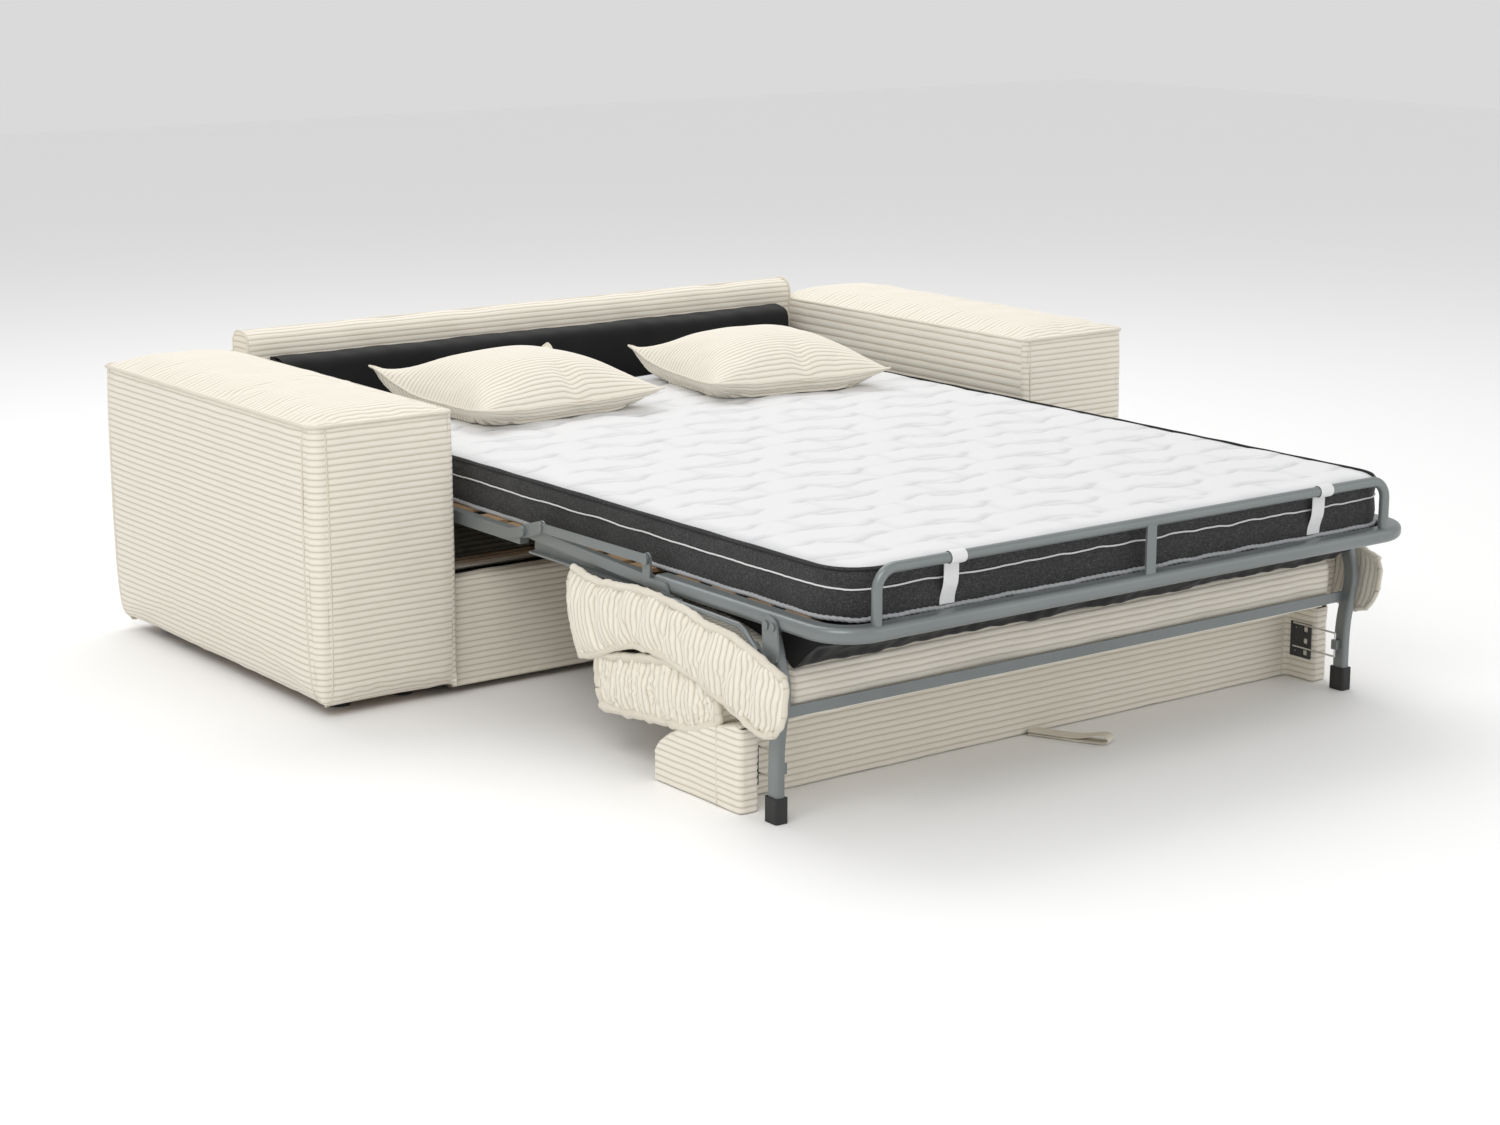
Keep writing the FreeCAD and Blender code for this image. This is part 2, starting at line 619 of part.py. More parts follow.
def backrest():
    """The backrest lying under the bed: a shell with two side wings, and its cushion."""
    panel = side_form(
        [
            (698, 63),
            (698, 12),
            (712, 0, 701, 3),
            (890, 0),
            (890, 152),
            (837, 141),
            (746, 103, 790, 125),
            (698, 63, 715, 84),
        ],
        -SHELL_HALF,
        SHELL_HALF,
    )
    shell = panel
    for x0, x1 in ((-SHELL_HALF, -WING_IN), (WING_IN, SHELL_HALF)):
        wing = side_form([(885, 0), (961, 0), (965, 4, 964, 1), (965, 160), (950, 167, 962, 166), (885, 151)], x0, x1)
        shell = shell.fuse(wing)
    shell = shell.removeSplitter()
    board_half = SHELL_HALF - 28
    board = box(-board_half, board_half, 752, 866, 14, 96)
    keep("backrest_cover", shell.cut(board))
    keep("backrest_board", board)
    cushion = side_form(
        [
            (497, 199),
            (507, 114, 498, 155),
            (539, 99, 518, 101),
            (661, 121),
            (791, 124),
            (886, 149),
            (886, 204, 896, 160),
            (743, 237, 827, 230),
            (497, 199, 620, 222),
        ],
        -SHELL_HALF + 3,
        SHELL_HALF - 3,
    )
    cushion = cushion.cut(shell)
    cushion = cushion.cut(PARTS["seat_cushion"])
    keep("back_cushion", max(cushion.Solids, key=lambda solid: solid.Volume))
    plate = box(WING_IN - 3, WING_IN, 902, 958, 48, 122)
    for reach in (920, 940):
        for z in (60, 85, 110):
            if reach == 920:
                hole = disc((reach - 4, z), 2.5, WING_IN - 5, WING_IN + 2)
            else:
                hole = box(WING_IN - 5, WING_IN + 2, reach - 3, reach + 9, z - 6, z + 6)
            plate = plate.cut(hole)
    keep_both("backrest_hinge_plates", plate)
    band = 5.0
    gap = 5.0
    far = 168.0
    centre = band + gap / 2
    loop = side_form(
        [
            (860, 0),
            (890 + far, 0),
            (890 + far, 2 * centre, 890 + far + centre, centre),
            (860, 2 * centre),
            (860, 2 * centre - band),
            (890 + far, 2 * centre - band),
            (890 + far, band, 890 + far + gap / 2, centre),
            (860, band),
        ],
        -18,
        18,
    )
    loop.rotate(point(0, 890, 0), Vector(0, 0, 1), 26)
    keep("pull_strap", loop.cut(box(-100, 100, 800, 890, -5, 60)))


def pillow(centre_x, centre_reach, wide, deep, turn):
    """A loose pillow lying on the bed: seams at half height, drawn-in sides and a belly on the mattress."""
    sections = []
    for share, seam, thick, depth in (
        (-0.5, 40, 4, 1.0),
        (-0.44, 36, 40, 0.955),
        (-0.3, 34, 88, 0.91),
        (0.0, 32, 122, 0.89),
        (0.3, 34, 90, 0.91),
        (0.44, 36, 42, 0.955),
        (0.5, 40, 4, 1.0),
    ):
        x = share * wide
        half = depth * deep / 2
        belly = max(0, seam - thick * 0.4)
        if abs(share) < 0.35:
            belly = 0
        low = Vector(x, -half, seam)
        high = Vector(x, half, seam)
        rest_low = Vector(x, -0.6 * half, belly)
        rest_high = Vector(x, 0.6 * half, belly)
        steps = [
            Part.makeLine(low, rest_low),
            Part.makeLine(rest_low, rest_high),
            Part.makeLine(rest_high, high),
            Part.Arc(high, Vector(x, 0, belly + thick), low).toShape(),
        ]
        sections.append(Part.Wire(steps))
    form = Part.makeLoft(sections, True, True)
    form.rotate(Vector(0, 0, 0), Vector(0, 0, 1), turn)
    form.translate(point(centre_x, centre_reach, MATTRESS_TOP))
    return form


def main():
    arms()
    back_and_base()
    fixed_mechanism()
    middle_section()
    link_bars()
    mattress()
    foot_section()
    legs()
    control_rods()
    seat_cushion()
    backrest()
    keep("pillow_left", pillow(-0.43 * MATTRESS_WIDTH / 2, -505, 490, 460, 2.4))
    keep("pillow_right", pillow(0.47 * MATTRESS_WIDTH / 2, -445, 470, 440, -7.7))
    os.makedirs("parts", exist_ok=True)
    for name, shape in PARTS.items():
        if not shape.isValid():
            print("not valid:", name)
        shape.exportStep("parts/" + name + ".step")
    print(len(PARTS), "nodes")


main()
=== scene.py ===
"""Sleeper sofa with its bed pulled out: the looks. Metres, +Z up, the front looks along -Y."""

import json
import math

import bpy
import numpy as np
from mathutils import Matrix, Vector


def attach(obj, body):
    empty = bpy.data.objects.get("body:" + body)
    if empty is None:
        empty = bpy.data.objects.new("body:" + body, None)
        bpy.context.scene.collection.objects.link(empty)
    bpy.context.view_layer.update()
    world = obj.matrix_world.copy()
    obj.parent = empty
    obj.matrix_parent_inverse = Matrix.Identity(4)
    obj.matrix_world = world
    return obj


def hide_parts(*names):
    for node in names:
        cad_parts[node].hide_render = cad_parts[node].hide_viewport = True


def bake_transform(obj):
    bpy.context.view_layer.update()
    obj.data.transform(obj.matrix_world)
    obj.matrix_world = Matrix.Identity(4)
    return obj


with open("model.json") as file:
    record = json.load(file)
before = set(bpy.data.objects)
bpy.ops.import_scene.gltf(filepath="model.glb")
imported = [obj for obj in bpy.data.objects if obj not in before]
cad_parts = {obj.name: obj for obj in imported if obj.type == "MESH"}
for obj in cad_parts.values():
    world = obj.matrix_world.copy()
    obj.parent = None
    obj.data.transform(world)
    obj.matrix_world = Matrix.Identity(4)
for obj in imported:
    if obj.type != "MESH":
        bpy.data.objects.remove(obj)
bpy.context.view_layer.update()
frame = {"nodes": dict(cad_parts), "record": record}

MM = 0.001
FRONT_Y = 124.0

# Sizes repeated from the part's source, in millimetres
HALF, INNER, DEPTH = 1092.0, 770.0, 967.0
ARM_HEIGHT, BACK_HEIGHT, FLOOR_GAP = 620.0, 648.0, 22.0
ARM_CROWN = 22.0
ARM_SEAM = ARM_HEIGHT - ARM_CROWN
SEAM_TUCK = 4.6
MATT_HALF, MATT_HEAD, MATT_FOOT = 700.0, -725.0, 1175.0
MATT_CORNER, MATT_TOP, MATT_SPLIT = 85.0, 485.0, 435.0
SHELL_HALF, WING_IN = 768.0, 724.0
CUSHION_END = 768.0
NOTCH = 762.0
PAD_END = 760.0
LINING_HALF = 713.0
SEAT_LINING_HALF = 700.0

# The corduroy: the distance between ribs, points across each, and the shape of a rib
BAND_PITCH = 13.0
INNER_ARM_PITCH = 18.5
RIB_POINTS = 8
RIB_ROUND = 0.62
RIB_MIDDLE = 0.72

# The camera, in metres and degrees, and the floor's half size
CAMERA_PLACE = (-3.681, -4.779, 1.615)
CAMERA_TURN, CAMERA_DOWN, CAMERA_LENS, CAMERA_SENSOR = 36.7, 13.19, 68.74, 36.0
FLOOR_HALF = 14.0


def xyz(x, reach, z):
    """Object coordinates in mm from sideways place, reach in front of the arms and height."""
    return np.array([x, FRONT_Y - reach, z], float)


def camera_and_light():
    """The photo's camera, three soft lamps, a pale world and a white floor."""
    data = bpy.data.cameras.new("camera")
    data.lens = CAMERA_LENS
    data.sensor_width = CAMERA_SENSOR
    cam = bpy.data.objects.new("camera", data)
    bpy.context.scene.collection.objects.link(cam)
    cam.location = CAMERA_PLACE
    turn, down = math.radians(CAMERA_TURN), math.radians(CAMERA_DOWN)
    look = Vector((math.sin(turn) * math.cos(down), math.cos(turn) * math.cos(down), -math.sin(down)))
    cam.rotation_mode = "QUATERNION"
    cam.rotation_quaternion = look.to_track_quat("-Z", "Y")
    data.clip_end = 60
    bpy.context.scene.camera = cam

    def area(name, place, aim, size, power, colour=(1, 1, 1)):
        lamp = bpy.data.lights.new(name, "AREA")
        lamp.shape = "RECTANGLE"
        lamp.size, lamp.size_y = size
        lamp.energy = power
        lamp.color = colour
        obj = bpy.data.objects.new(name, lamp)
        obj.location = place
        obj.rotation_mode = "QUATERNION"
        obj.rotation_quaternion = (Vector(aim) - Vector(place)).to_track_quat("-Z", "Y")
        bpy.context.scene.collection.objects.link(obj)

    area("key", (-3.6, -2.6, 4.2), (0.0, -0.2, 0.3), (3.2, 2.4), 95, (1.0, 0.985, 0.96))
    area("fill", (3.6, -5.0, 2.2), (0.0, -0.3, 0.3), (4.0, 3.0), 28, (0.96, 0.98, 1.0))
    area("top", (0.6, 2.6, 4.6), (0.0, 0.0, 0.3), (5.0, 3.0), 105)
    world = bpy.data.worlds.new("studio")
    bpy.context.scene.world = world
    world.use_nodes = True
    back = world.node_tree.nodes["Background"]
    back.inputs["Color"].default_value = (1.0, 1.0, 1.0, 1)
    back.inputs["Strength"].default_value = 0.70
    view = bpy.context.scene.view_settings
    view.view_transform = "Standard"
    view.look = "None"

    mesh = bpy.data.meshes.new("floor")
    w = FLOOR_HALF
    mesh.from_pydata([(-w, -w, 0), (w, -w, 0), (w, w, 0), (-w, w, 0)], [], [(0, 1, 2, 3)])
    floor = bpy.data.objects.new("floor", mesh)
    bpy.context.scene.collection.objects.link(floor)
    floor.location.z = -0.0005
    mat = bpy.data.materials.new("floor_white")
    mat.use_nodes = True
    shade = mat.node_tree.nodes["Principled BSDF"]
    shade.inputs["Base Color"].default_value = (0.97, 0.97, 0.97, 1)
    shade.inputs["Roughness"].default_value = 0.6
    mesh.materials.append(mat)


camera_and_light()


class Shader:
    """Builds a material's nodes with few words."""

    def __init__(self, name):
        self.mat = bpy.data.materials.new(name)
        self.mat.use_nodes = True
        self.tree = self.mat.node_tree
        self.bsdf = self.tree.nodes["Principled BSDF"]

    def node(self, kind, values=(), links=(), **options):
        made = self.tree.nodes.new(kind)
        for key, value in options.items():
            setattr(made, key, value)
        for key, value in dict(values).items():
            made.inputs[key].default_value = value
        for key, source in dict(links).items():
            self.tree.links.new(source, made.inputs[key])
        return made

    def link(self, source, socket):
        self.tree.links.new(source, self.bsdf.inputs[socket])

    def fixed(self, **values):
        for key, value in values.items():
            self.bsdf.inputs[key.replace("_", " ")].default_value = value

    def ramp(self, source, stops):
        made = self.node("ShaderNodeValToRGB", links={"Fac": source})
        ramp = made.color_ramp
        ramp.elements[0].position, ramp.elements[0].color = stops[0][0], (*stops[0][1], 1)
        ramp.elements[1].position, ramp.elements[1].color = stops[-1][0], (*stops[-1][1], 1)
        for place, colour in stops[1:-1]:
            ramp.elements.new(place).color = (*colour, 1)
        return made.outputs["Color"]

    def noise(self, scale, detail=3.0, rough=0.55, vector=None):
        coords = vector or self.node("ShaderNodeTexCoord").outputs["Object"]
        settings = {"Scale": scale, "Detail": detail, "Roughness": rough}
        made = self.node("ShaderNodeTexNoise", settings, {"Vector": coords})
        return made.outputs["Fac"]

    def stretch(self, scale):
        coords = self.node("ShaderNodeTexCoord").outputs["Object"]
        made = self.node("ShaderNodeMapping", {"Scale": scale}, {"Vector": coords})
        return made.outputs["Vector"]

    def mix(self, fac, a, b):
        made = self.node("ShaderNodeMix", data_type="RGBA")
        for socket, value in ((0, fac), (6, a), (7, b)):
            if isinstance(value, bpy.types.NodeSocket):
                self.tree.links.new(value, made.inputs[socket])
            elif socket == 0:
                made.inputs[0].default_value = value
            else:
                made.inputs[socket].default_value = (*value, 1)
        return made.outputs[2]

    def math(self, kind, a, b=0.0):
        made = self.node("ShaderNodeMath", operation=kind)
        for i, value in enumerate((a, b)):
            if isinstance(value, bpy.types.NodeSocket):
                self.tree.links.new(value, made.inputs[i])
            else:
                made.inputs[i].default_value = value
        return made.outputs[0]

    def bump(self, height, strength, distance):
        made = self.node("ShaderNodeBump", {"Strength": strength, "Distance": distance}, {"Height": height})
        self.link(made.outputs["Normal"], "Normal")


def corduroy():
    """Cream pile with painted shade: darker and warmer in the grooves between the ribs."""
    s = Shader("corduroy_cream")
    rib_shade = s.node("ShaderNodeAttribute", attribute_name="rib_shade").outputs["Fac"]
    pile = s.noise(1100.0, 4.0, 0.6)
    patch = s.noise(9.0, 3.0, 0.5)
    streak = s.noise(130.0, 2.0, 0.5)
    # painted shade: the ramp darkens the cloth from each rib's crest down into its grooves
    base = s.ramp(
        rib_shade, [(0.0, (0.44, 0.385, 0.30)), (0.35, (0.70, 0.645, 0.54)), (1.0, (0.87, 0.83, 0.735))],
    )
    soft = s.mix(s.math("MULTIPLY", patch, 0.22), base, (0.70, 0.63, 0.52))
    # lighter streaks of wear at random, laid over the painted groove shade
    shaded_and_worn = s.mix(s.math("MULTIPLY", streak, 0.16), soft, (0.92, 0.89, 0.82))
    s.link(shaded_and_worn, "Base Color")
    rough = s.math("ADD", s.math("MULTIPLY", pile, 0.15), 0.80)
    s.link(rough, "Roughness")
    s.fixed(Sheen_Weight=0.25, Sheen_Roughness=0.5, Specular_IOR_Level=0.15)
    s.bump(pile, 0.55, 0.0006)
    return s.mat


def plain_cloth(name, dark, light, weave=900.0, rough=0.85, sheen=0.1):
    """A fine weave between two shades."""
    s = Shader(name)
    fine = s.noise(weave, 4.0, 0.6)
    patch = s.noise(12.0, 3.0, 0.5)
    colour = s.mix(s.math("MULTIPLY", s.math("ADD", fine, patch), 0.5), dark, light)
    s.link(colour, "Base Color")
    s.fixed(Roughness=rough, Sheen_Weight=sheen, Specular_IOR_Level=0.2)
    s.bump(fine, 0.5, 0.0005)
    return s.mat


def knit_border():
    """The mattress border's charcoal knit, with dashes along both thread directions."""
    s = Shader("border_knit_charcoal")
    down = s.noise(1.0, 3.0, 0.6, s.stretch((900.0, 900.0, 170.0)))
    across = s.noise(1.0, 3.0, 0.6, s.stretch((160.0, 160.0, 1000.0)))
    both = s.math("MULTIPLY", down, across)
    shades = [(0.12, (0.016, 0.016, 0.016)), (0.27, (0.042, 0.042, 0.042)), (0.42, (0.11, 0.11, 0.111))]
    colour = s.ramp(both, shades)
    s.link(colour, "Base Color")
    s.fixed(Roughness=0.9, Sheen_Weight=0.12, Specular_IOR_Level=0.2)
    s.bump(both, 0.7, 0.0008)
    return s.mat


def quilt_white():
    """The quilted top, with painted shade: greyer in its valleys and towards its edges."""
    s = Shader("quilt_white")
    rib_shade = s.node("ShaderNodeAttribute", attribute_name="rib_shade").outputs["Fac"]
    fine = s.noise(1500.0, 3.0, 0.6)
    # painted shade: the ramp greys the cloth from the puffs down into the valleys
    shades = [(0.0, (0.43, 0.44, 0.455)), (0.5, (0.65, 0.655, 0.665)), (1.0, (0.755, 0.755, 0.76))]
    colour = s.ramp(rib_shade, shades)
    s.link(s.mix(s.math("MULTIPLY", fine, 0.12), colour, (0.62, 0.62, 0.64)), "Base Color")
    s.fixed(Roughness=0.8, Sheen_Weight=0.15, Specular_IOR_Level=0.25)
    s.bump(fine, 0.5, 0.0004)
    return s.mat


def painted_steel(name, colour, rough=0.38):
    """Satin paint with a slight orange peel."""
    s = Shader(name)
    peel = s.noise(420.0, 3.0, 0.5)
    patch = s.noise(6.0, 3.0, 0.5)
    low = tuple(c * 0.86 for c in colour)
    high = tuple(min(1.0, c * 1.12) for c in colour)
    s.link(s.mix(patch, low, high), "Base Color")
    s.link(s.math("ADD", s.math("MULTIPLY", peel, 0.12), rough - 0.06), "Roughness")
    s.fixed(Metallic=0.35, Specular_IOR_Level=0.5, Coat_Weight=0.15, Coat_Roughness=0.25)
    s.bump(peel, 0.12, 0.0004)
    return s.mat


def bright_steel():
    """Bare drawn tube, with fine lines along it."""
    s = Shader("bright_steel")
    draw = s.noise(1.0, 3.0, 0.6, s.stretch((3.0, 500.0, 500.0)))
    s.link(s.ramp(draw, [(0.2, (0.62, 0.62, 0.62)), (0.8, (0.86, 0.86, 0.86))]), "Base Color")
    s.link(s.math("ADD", s.math("MULTIPLY", draw, 0.15), 0.18), "Roughness")
    s.fixed(Metallic=1.0)
    return s.mat


def rubber(name, level=0.012, rough=0.55):
    """Black rubber or plastic."""
    s = Shader(name)
    fine = s.noise(600.0, 3.0, 0.6)
    s.link(s.mix(fine, (level, level, level), (level * 2.2,) * 3), "Base Color")
    s.link(s.math("ADD", s.math("MULTIPLY", fine, 0.2), rough - 0.1), "Roughness")
    s.fixed(Specular_IOR_Level=0.45)
    s.bump(fine, 0.25, 0.0003)
    return s.mat


def timber(name, dark, light, along=(2.0, 60.0, 60.0)):
    """Wood with its grain along X."""
    s = Shader(name)
    grain = s.noise(1.0, 6.0, 0.65, s.stretch(along))
    fine = s.noise(1.0, 3.0, 0.6, s.stretch(tuple(9 * a for a in along)))
    s.link(s.mix(s.math("MULTIPLY", s.math("ADD", grain, fine), 0.5), dark, light), "Base Color")
    s.link(s.math("ADD", s.math("MULTIPLY", grain, 0.2), 0.4), "Roughness")
    s.bump(fine, 0.2, 0.0003)
    return s.mat


def elastic():
    """White woven elastic."""
    s = Shader("elastic_white")
    weave = s.noise(1.0, 2.0, 0.5, s.stretch((1500.0, 1500.0, 260.0)))
    s.link(s.mix(weave, (0.66, 0.66, 0.67), (0.88, 0.88, 0.88)), "Base Color")
    s.fixed(Roughness=0.75, Sheen_Weight=0.1)
    s.bump(weave, 0.6, 0.0006)
    return s.mat


CORD = corduroy()
BLACK = plain_cloth("lining_black", (0.004, 0.004, 0.004), (0.022, 0.022, 0.023))
CORD_PLAIN = plain_cloth("corduroy_seam", (0.60, 0.545, 0.44), (0.83, 0.79, 0.70), 700.0, 0.85, 0.2)
BORDER = knit_border()
QUILT = quilt_white()
PIPING = plain_cloth("piping_white", (0.55, 0.55, 0.56), (0.88, 0.88, 0.88))
BRAID = plain_cloth("braid_silver", (0.20, 0.21, 0.22), (0.58, 0.59, 0.61), 600.0, 0.6, 0.2)
STEEL = painted_steel("steel_grey_satin", (0.205, 0.225, 0.225))
DARK_STEEL = painted_steel("steel_dark", (0.045, 0.048, 0.048), 0.5)
BRIGHT = bright_steel()
RUBBER = rubber("rubber_black")
PLASTIC = rubber("plastic_black", 0.02, 0.45)
SLAT = timber("slat_wood", (0.25, 0.15, 0.07), (0.50, 0.34, 0.19))
BOARD = timber("board_wood", (0.30, 0.20, 0.11), (0.52, 0.38, 0.23))
ELASTIC = elastic()

SLOT_MATERIAL = {
    "grey_steel": STEEL,
    "bright_steel": BRIGHT,
    "dark_steel": DARK_STEEL,
    "black_rubber": RUBBER,
    "black_plastic": PLASTIC,
    "slat_wood": SLAT,
    "frame_wood": BOARD,
    "black_cloth": BLACK,
    "white_elastic": ELASTIC,
    "corduroy": CORD_PLAIN,
    "mattress_knit": QUILT,
}
for sub in frame["record"]["subparts"]:
    node = frame["nodes"][sub["node"]]
    node.data.materials.clear()
    node.data.materials.append(SLOT_MATERIAL[sub["material_slot"]])


# Grids, ribs and panels


def cubic(values, n, axis=0):
    """Smooth resampling of an array along one axis."""
    v = np.moveaxis(values, axis, 0)
    m = len(v)
    if m == 2:
        t = np.linspace(0, 1, n).reshape(-1, *([1] * (v.ndim - 1)))
        return np.moveaxis(v[0] * (1 - t) + v[1] * t, 0, axis)
    v = np.concatenate([[2 * v[0] - v[1]], v, [2 * v[-1] - v[-2]]])
    t = np.linspace(0, m - 1, n)
    i = np.minimum(t.astype(int), m - 2)
    f = (t - i).reshape(-1, *([1] * (v.ndim - 1)))
    p0, p1, p2, p3 = v[i], v[i + 1], v[i + 2], v[i + 3]
    out = p1 + 0.5 * f * (p2 - p0 + f * (2 * p0 - 5 * p1 + 4 * p2 - p3 + f * (3 * (p1 - p2) + p3 - p0)))
    return np.moveaxis(out, 0, axis)


def normals(grid):
    """Unit normals at the points of a grid."""
    du = np.gradient(grid, axis=0)
    dv = np.gradient(grid, axis=1)
    n = np.cross(du, dv)
    return n / np.maximum(np.linalg.norm(n, axis=2, keepdims=True), 1e-9)


def wobble(grid, amp, wave, seed):
    """Smooth seeded unevenness, as a height over each point."""
    rng = np.random.default_rng(seed)
    total = np.zeros(grid.shape[:2])
    for _ in range(7):
        k = rng.normal(size=3) * 2 * math.pi / wave
        total += np.sin(grid @ k + rng.uniform(0, 6.283))
    return amp * total / 2.6


def orient(grid, facing, centre):
    """The grid with its rows swapped if it would look the wrong way."""
    if isinstance(facing, str):
        return grid
    n = normals(grid)
    if facing is not None:
        good = (n.mean(axis=(0, 1)) @ np.asarray(facing, float)) > 0
    else:
        middle = grid.mean(axis=(0, 1)) if centre is None else np.asarray(centre, float)
        if middle.ndim == 2 and len(middle) == len(grid):
            middle = middle[:, None]
        good = ((grid - middle) * n).sum() > 0
    return grid if good else grid[::-1]


def ribbed(grid, across, facing, pitch=BAND_PITCH, depth=1.5, along_n=26, seed=1, sway=0.8, fade=True):
    """A fine panel with real ribs on a coarse grid; across is the grid axis that crosses the ribs."""
    g = np.asarray(grid, float)
    if across == 1:
        g = g.transpose(1, 0, 2)
        if isinstance(facing, str):
            g = g[::-1]
    g = orient(g, facing, None)
    length = np.linalg.norm(np.diff(g, axis=0), axis=2).sum(axis=0).mean()
    count = max(2, int(round(length / pitch)))
    fine = cubic(cubic(even_rows(g, max(len(g), 3)), count * RIB_POINTS + 1, 0), along_n, 1)
    n = normals(fine)
    phase = np.linspace(0, count, count * RIB_POINTS + 1)[:, None]
    # the crest also sets the corduroy's painted shade, darkest in the grooves
    crest = np.abs(np.sin(math.pi * phase)) ** RIB_ROUND * np.ones((1, along_n))
    height = depth * (crest - RIB_MIDDLE)
    if fade:
        run = np.linalg.norm(np.diff(fine, axis=1), axis=2).sum(axis=1).mean()
        edge = np.linspace(0, run, along_n)
        ease = np.clip(np.minimum(edge, run - edge) / 6.0, 0, 1)
        height = height * ease[None, :]
    height = height + wobble(fine, sway, 140.0, seed)
    return fine + n * height[:, :, None], crest


def even_rows(g, n):
    """The grid with its rows spread evenly, so that ribs keep one pitch."""
    fine = cubic(g, 12 * len(g))
    step = np.linalg.norm(np.diff(fine, axis=0), axis=2).mean(axis=1)
    run = np.concatenate([[0], np.cumsum(step)])
    want = np.linspace(0, run[-1], max(n, 24) * 2)
    out = np.empty((len(want), *g.shape[1:]))
    for j in range(g.shape[1]):
        for k in range(3):
            out[:, j, k] = np.interp(want, run, fine[:, j, k])
    return out


def smooth_panel(grid, nu, nv, facing, seed=2, sway=0.5, wave=120.0):
    """A fine panel of smooth cloth on a coarse grid."""
    g = orient(np.asarray(grid, float), facing, None)
    fine = cubic(cubic(g, nu, 0), nv, 1)
    return fine + normals(fine) * wobble(fine, sway, wave, seed)[:, :, None], np.ones((nu, nv))


def panels_object(name, panels, materials, body, nodes=()):
    """Joins finished panels into one mesh, in metres, and lets it ride on a body."""
    verts, faces, rib_shade, mats = [], [], [], []
    start = 0
    for item in panels:
        points, crest = item[:2]
        which = item[2] if len(item) > 2 else 0
        nu, nv = points.shape[:2]
        verts.append(points.reshape(-1, 3))
        rib_shade.append(crest.reshape(-1))
        ids = start + np.arange(nu * nv).reshape(nu, nv)
        quads = np.stack([ids[:-1, :-1], ids[1:, :-1], ids[1:, 1:], ids[:-1, 1:]], -1).reshape(-1, 4)
        faces.append(quads)
        mats.append(np.full(len(quads), which))
        start += nu * nv
    verts, faces = np.concatenate(verts) * MM, np.concatenate(faces)
    mesh = bpy.data.meshes.new(name)
    mesh.from_pydata(verts.tolist(), [], faces.tolist())
    # each point's crest goes to the cloth materials, which paint shade from it into grooves and valleys
    crests = mesh.attributes.new("rib_shade", "FLOAT", "POINT")
    crests.data.foreach_set("value", np.concatenate(rib_shade).astype(np.float32))
    for mat in materials:
        mesh.materials.append(mat)
    mesh.polygons.foreach_set("material_index", np.concatenate(mats).astype(np.int32))
    mesh.shade_smooth()
    obj = bpy.data.objects.new(name + "_looks", mesh)
    bpy.context.scene.collection.objects.link(obj)
    if body:
        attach(obj, body)
    if nodes:
        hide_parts(*nodes)
    return obj


CORD_AND_SEAM = (CORD, CORD_PLAIN)
CORD_AND_BLACK = (CORD, CORD_PLAIN, BLACK)


def cover(name, panels, body, materials=CORD_AND_SEAM):
    """A padded corduroy piece that stands in for the node of its name."""
    return panels_object(name, panels, materials, body, [name])


def lengths(points):
    """The length of each straight step along a row of points."""
    return np.linalg.norm(np.diff(points, axis=0), axis=1)


def tube_grid(path, radius, sides=8, twist=0.0, strands=0, seed=5, rough=0.0):
    """A round cord along a path of points; strands give it a twisted, corded surface."""
    p = np.asarray(path, float)
    tangent = np.gradient(p, axis=0)
    tangent /= np.maximum(np.linalg.norm(tangent, axis=1, keepdims=True), 1e-9)
    side = np.cross(tangent, np.array([0.0, 0.0, 1.0]))
    weak = np.linalg.norm(side, axis=1) < 0.25
    side[weak] = np.cross(tangent[weak], np.array([1.0, 0.0, 0.0]))
    side /= np.linalg.norm(side, axis=1, keepdims=True)
    up = np.cross(side, tangent)
    run = np.concatenate([[0], np.cumsum(lengths(p))])
    angle = np.linspace(0, 2 * math.pi, sides + 1)[None, :]
    r = np.full((len(p), sides + 1), float(radius))
    if strands:
        r = radius * (1 + 0.16 * np.cos(strands * (angle + run[:, None] * twist)))
    if rough:
        r = r * (1 + rough * wobble(p[:, None], 1.0, 32.0, seed)[:, :1])
    arms_of = np.cos(angle)[:, :, None] * side[:, None] + np.sin(angle)[:, :, None] * up[:, None]
    grid = p[:, None] + r[:, :, None] * arms_of
    ends = [np.repeat(p[:1, None], sides + 1, 1), grid, np.repeat(p[-1:, None], sides + 1, 1)]
    grid = np.concatenate(ends)
    crest = np.clip(np.concatenate([r[:1], r, r[-1:]]) / radius * 3 - 2.4, 0, 1)
    grid = orient(grid, None, np.concatenate([p[:1], p, p[-1:]]))
    return grid, crest


def along(points, n):
    """The same curve with n evenly spaced points."""
    p = np.asarray(points, float)
    if len(p) > 2:
        p = cubic(p, 12 * len(p))
    return straight(p, n)


def straight(points, n):
    """Evenly spaced points along straight runs between the given points."""
    p = np.asarray(points, float)
    run = np.concatenate([[0], np.cumsum(lengths(p))])
    want = np.linspace(0, run[-1], n)
    return np.stack([np.interp(want, run, p[:, k]) for k in range(3)], 1)


def coons(bottom, top, left, right, nu, nv, run_of=along):
    """A patch between four curves: bottom and top run with u, left and right run with v."""
    b, t, l, r = run_of(bottom, nu), run_of(top, nu), run_of(left, nv), run_of(right, nv)
    u = np.linspace(0, 1, nu)[:, None, None]
    v = np.linspace(0, 1, nv)[None, :, None]
    ruled = b[:, None] * (1 - v) + t[:, None] * v + l[None] * (1 - u) + r[None] * u
    corners = b[0] * (1 - u) * (1 - v) + b[-1] * u * (1 - v) + t[0] * (1 - u) * v + t[-1] * u * v
    return ruled - corners


def side_curve(steps, x):
    """A side view curve of (reach, height) at one sideways place."""
    return [xyz(x, reach, z) for reach, z in steps]


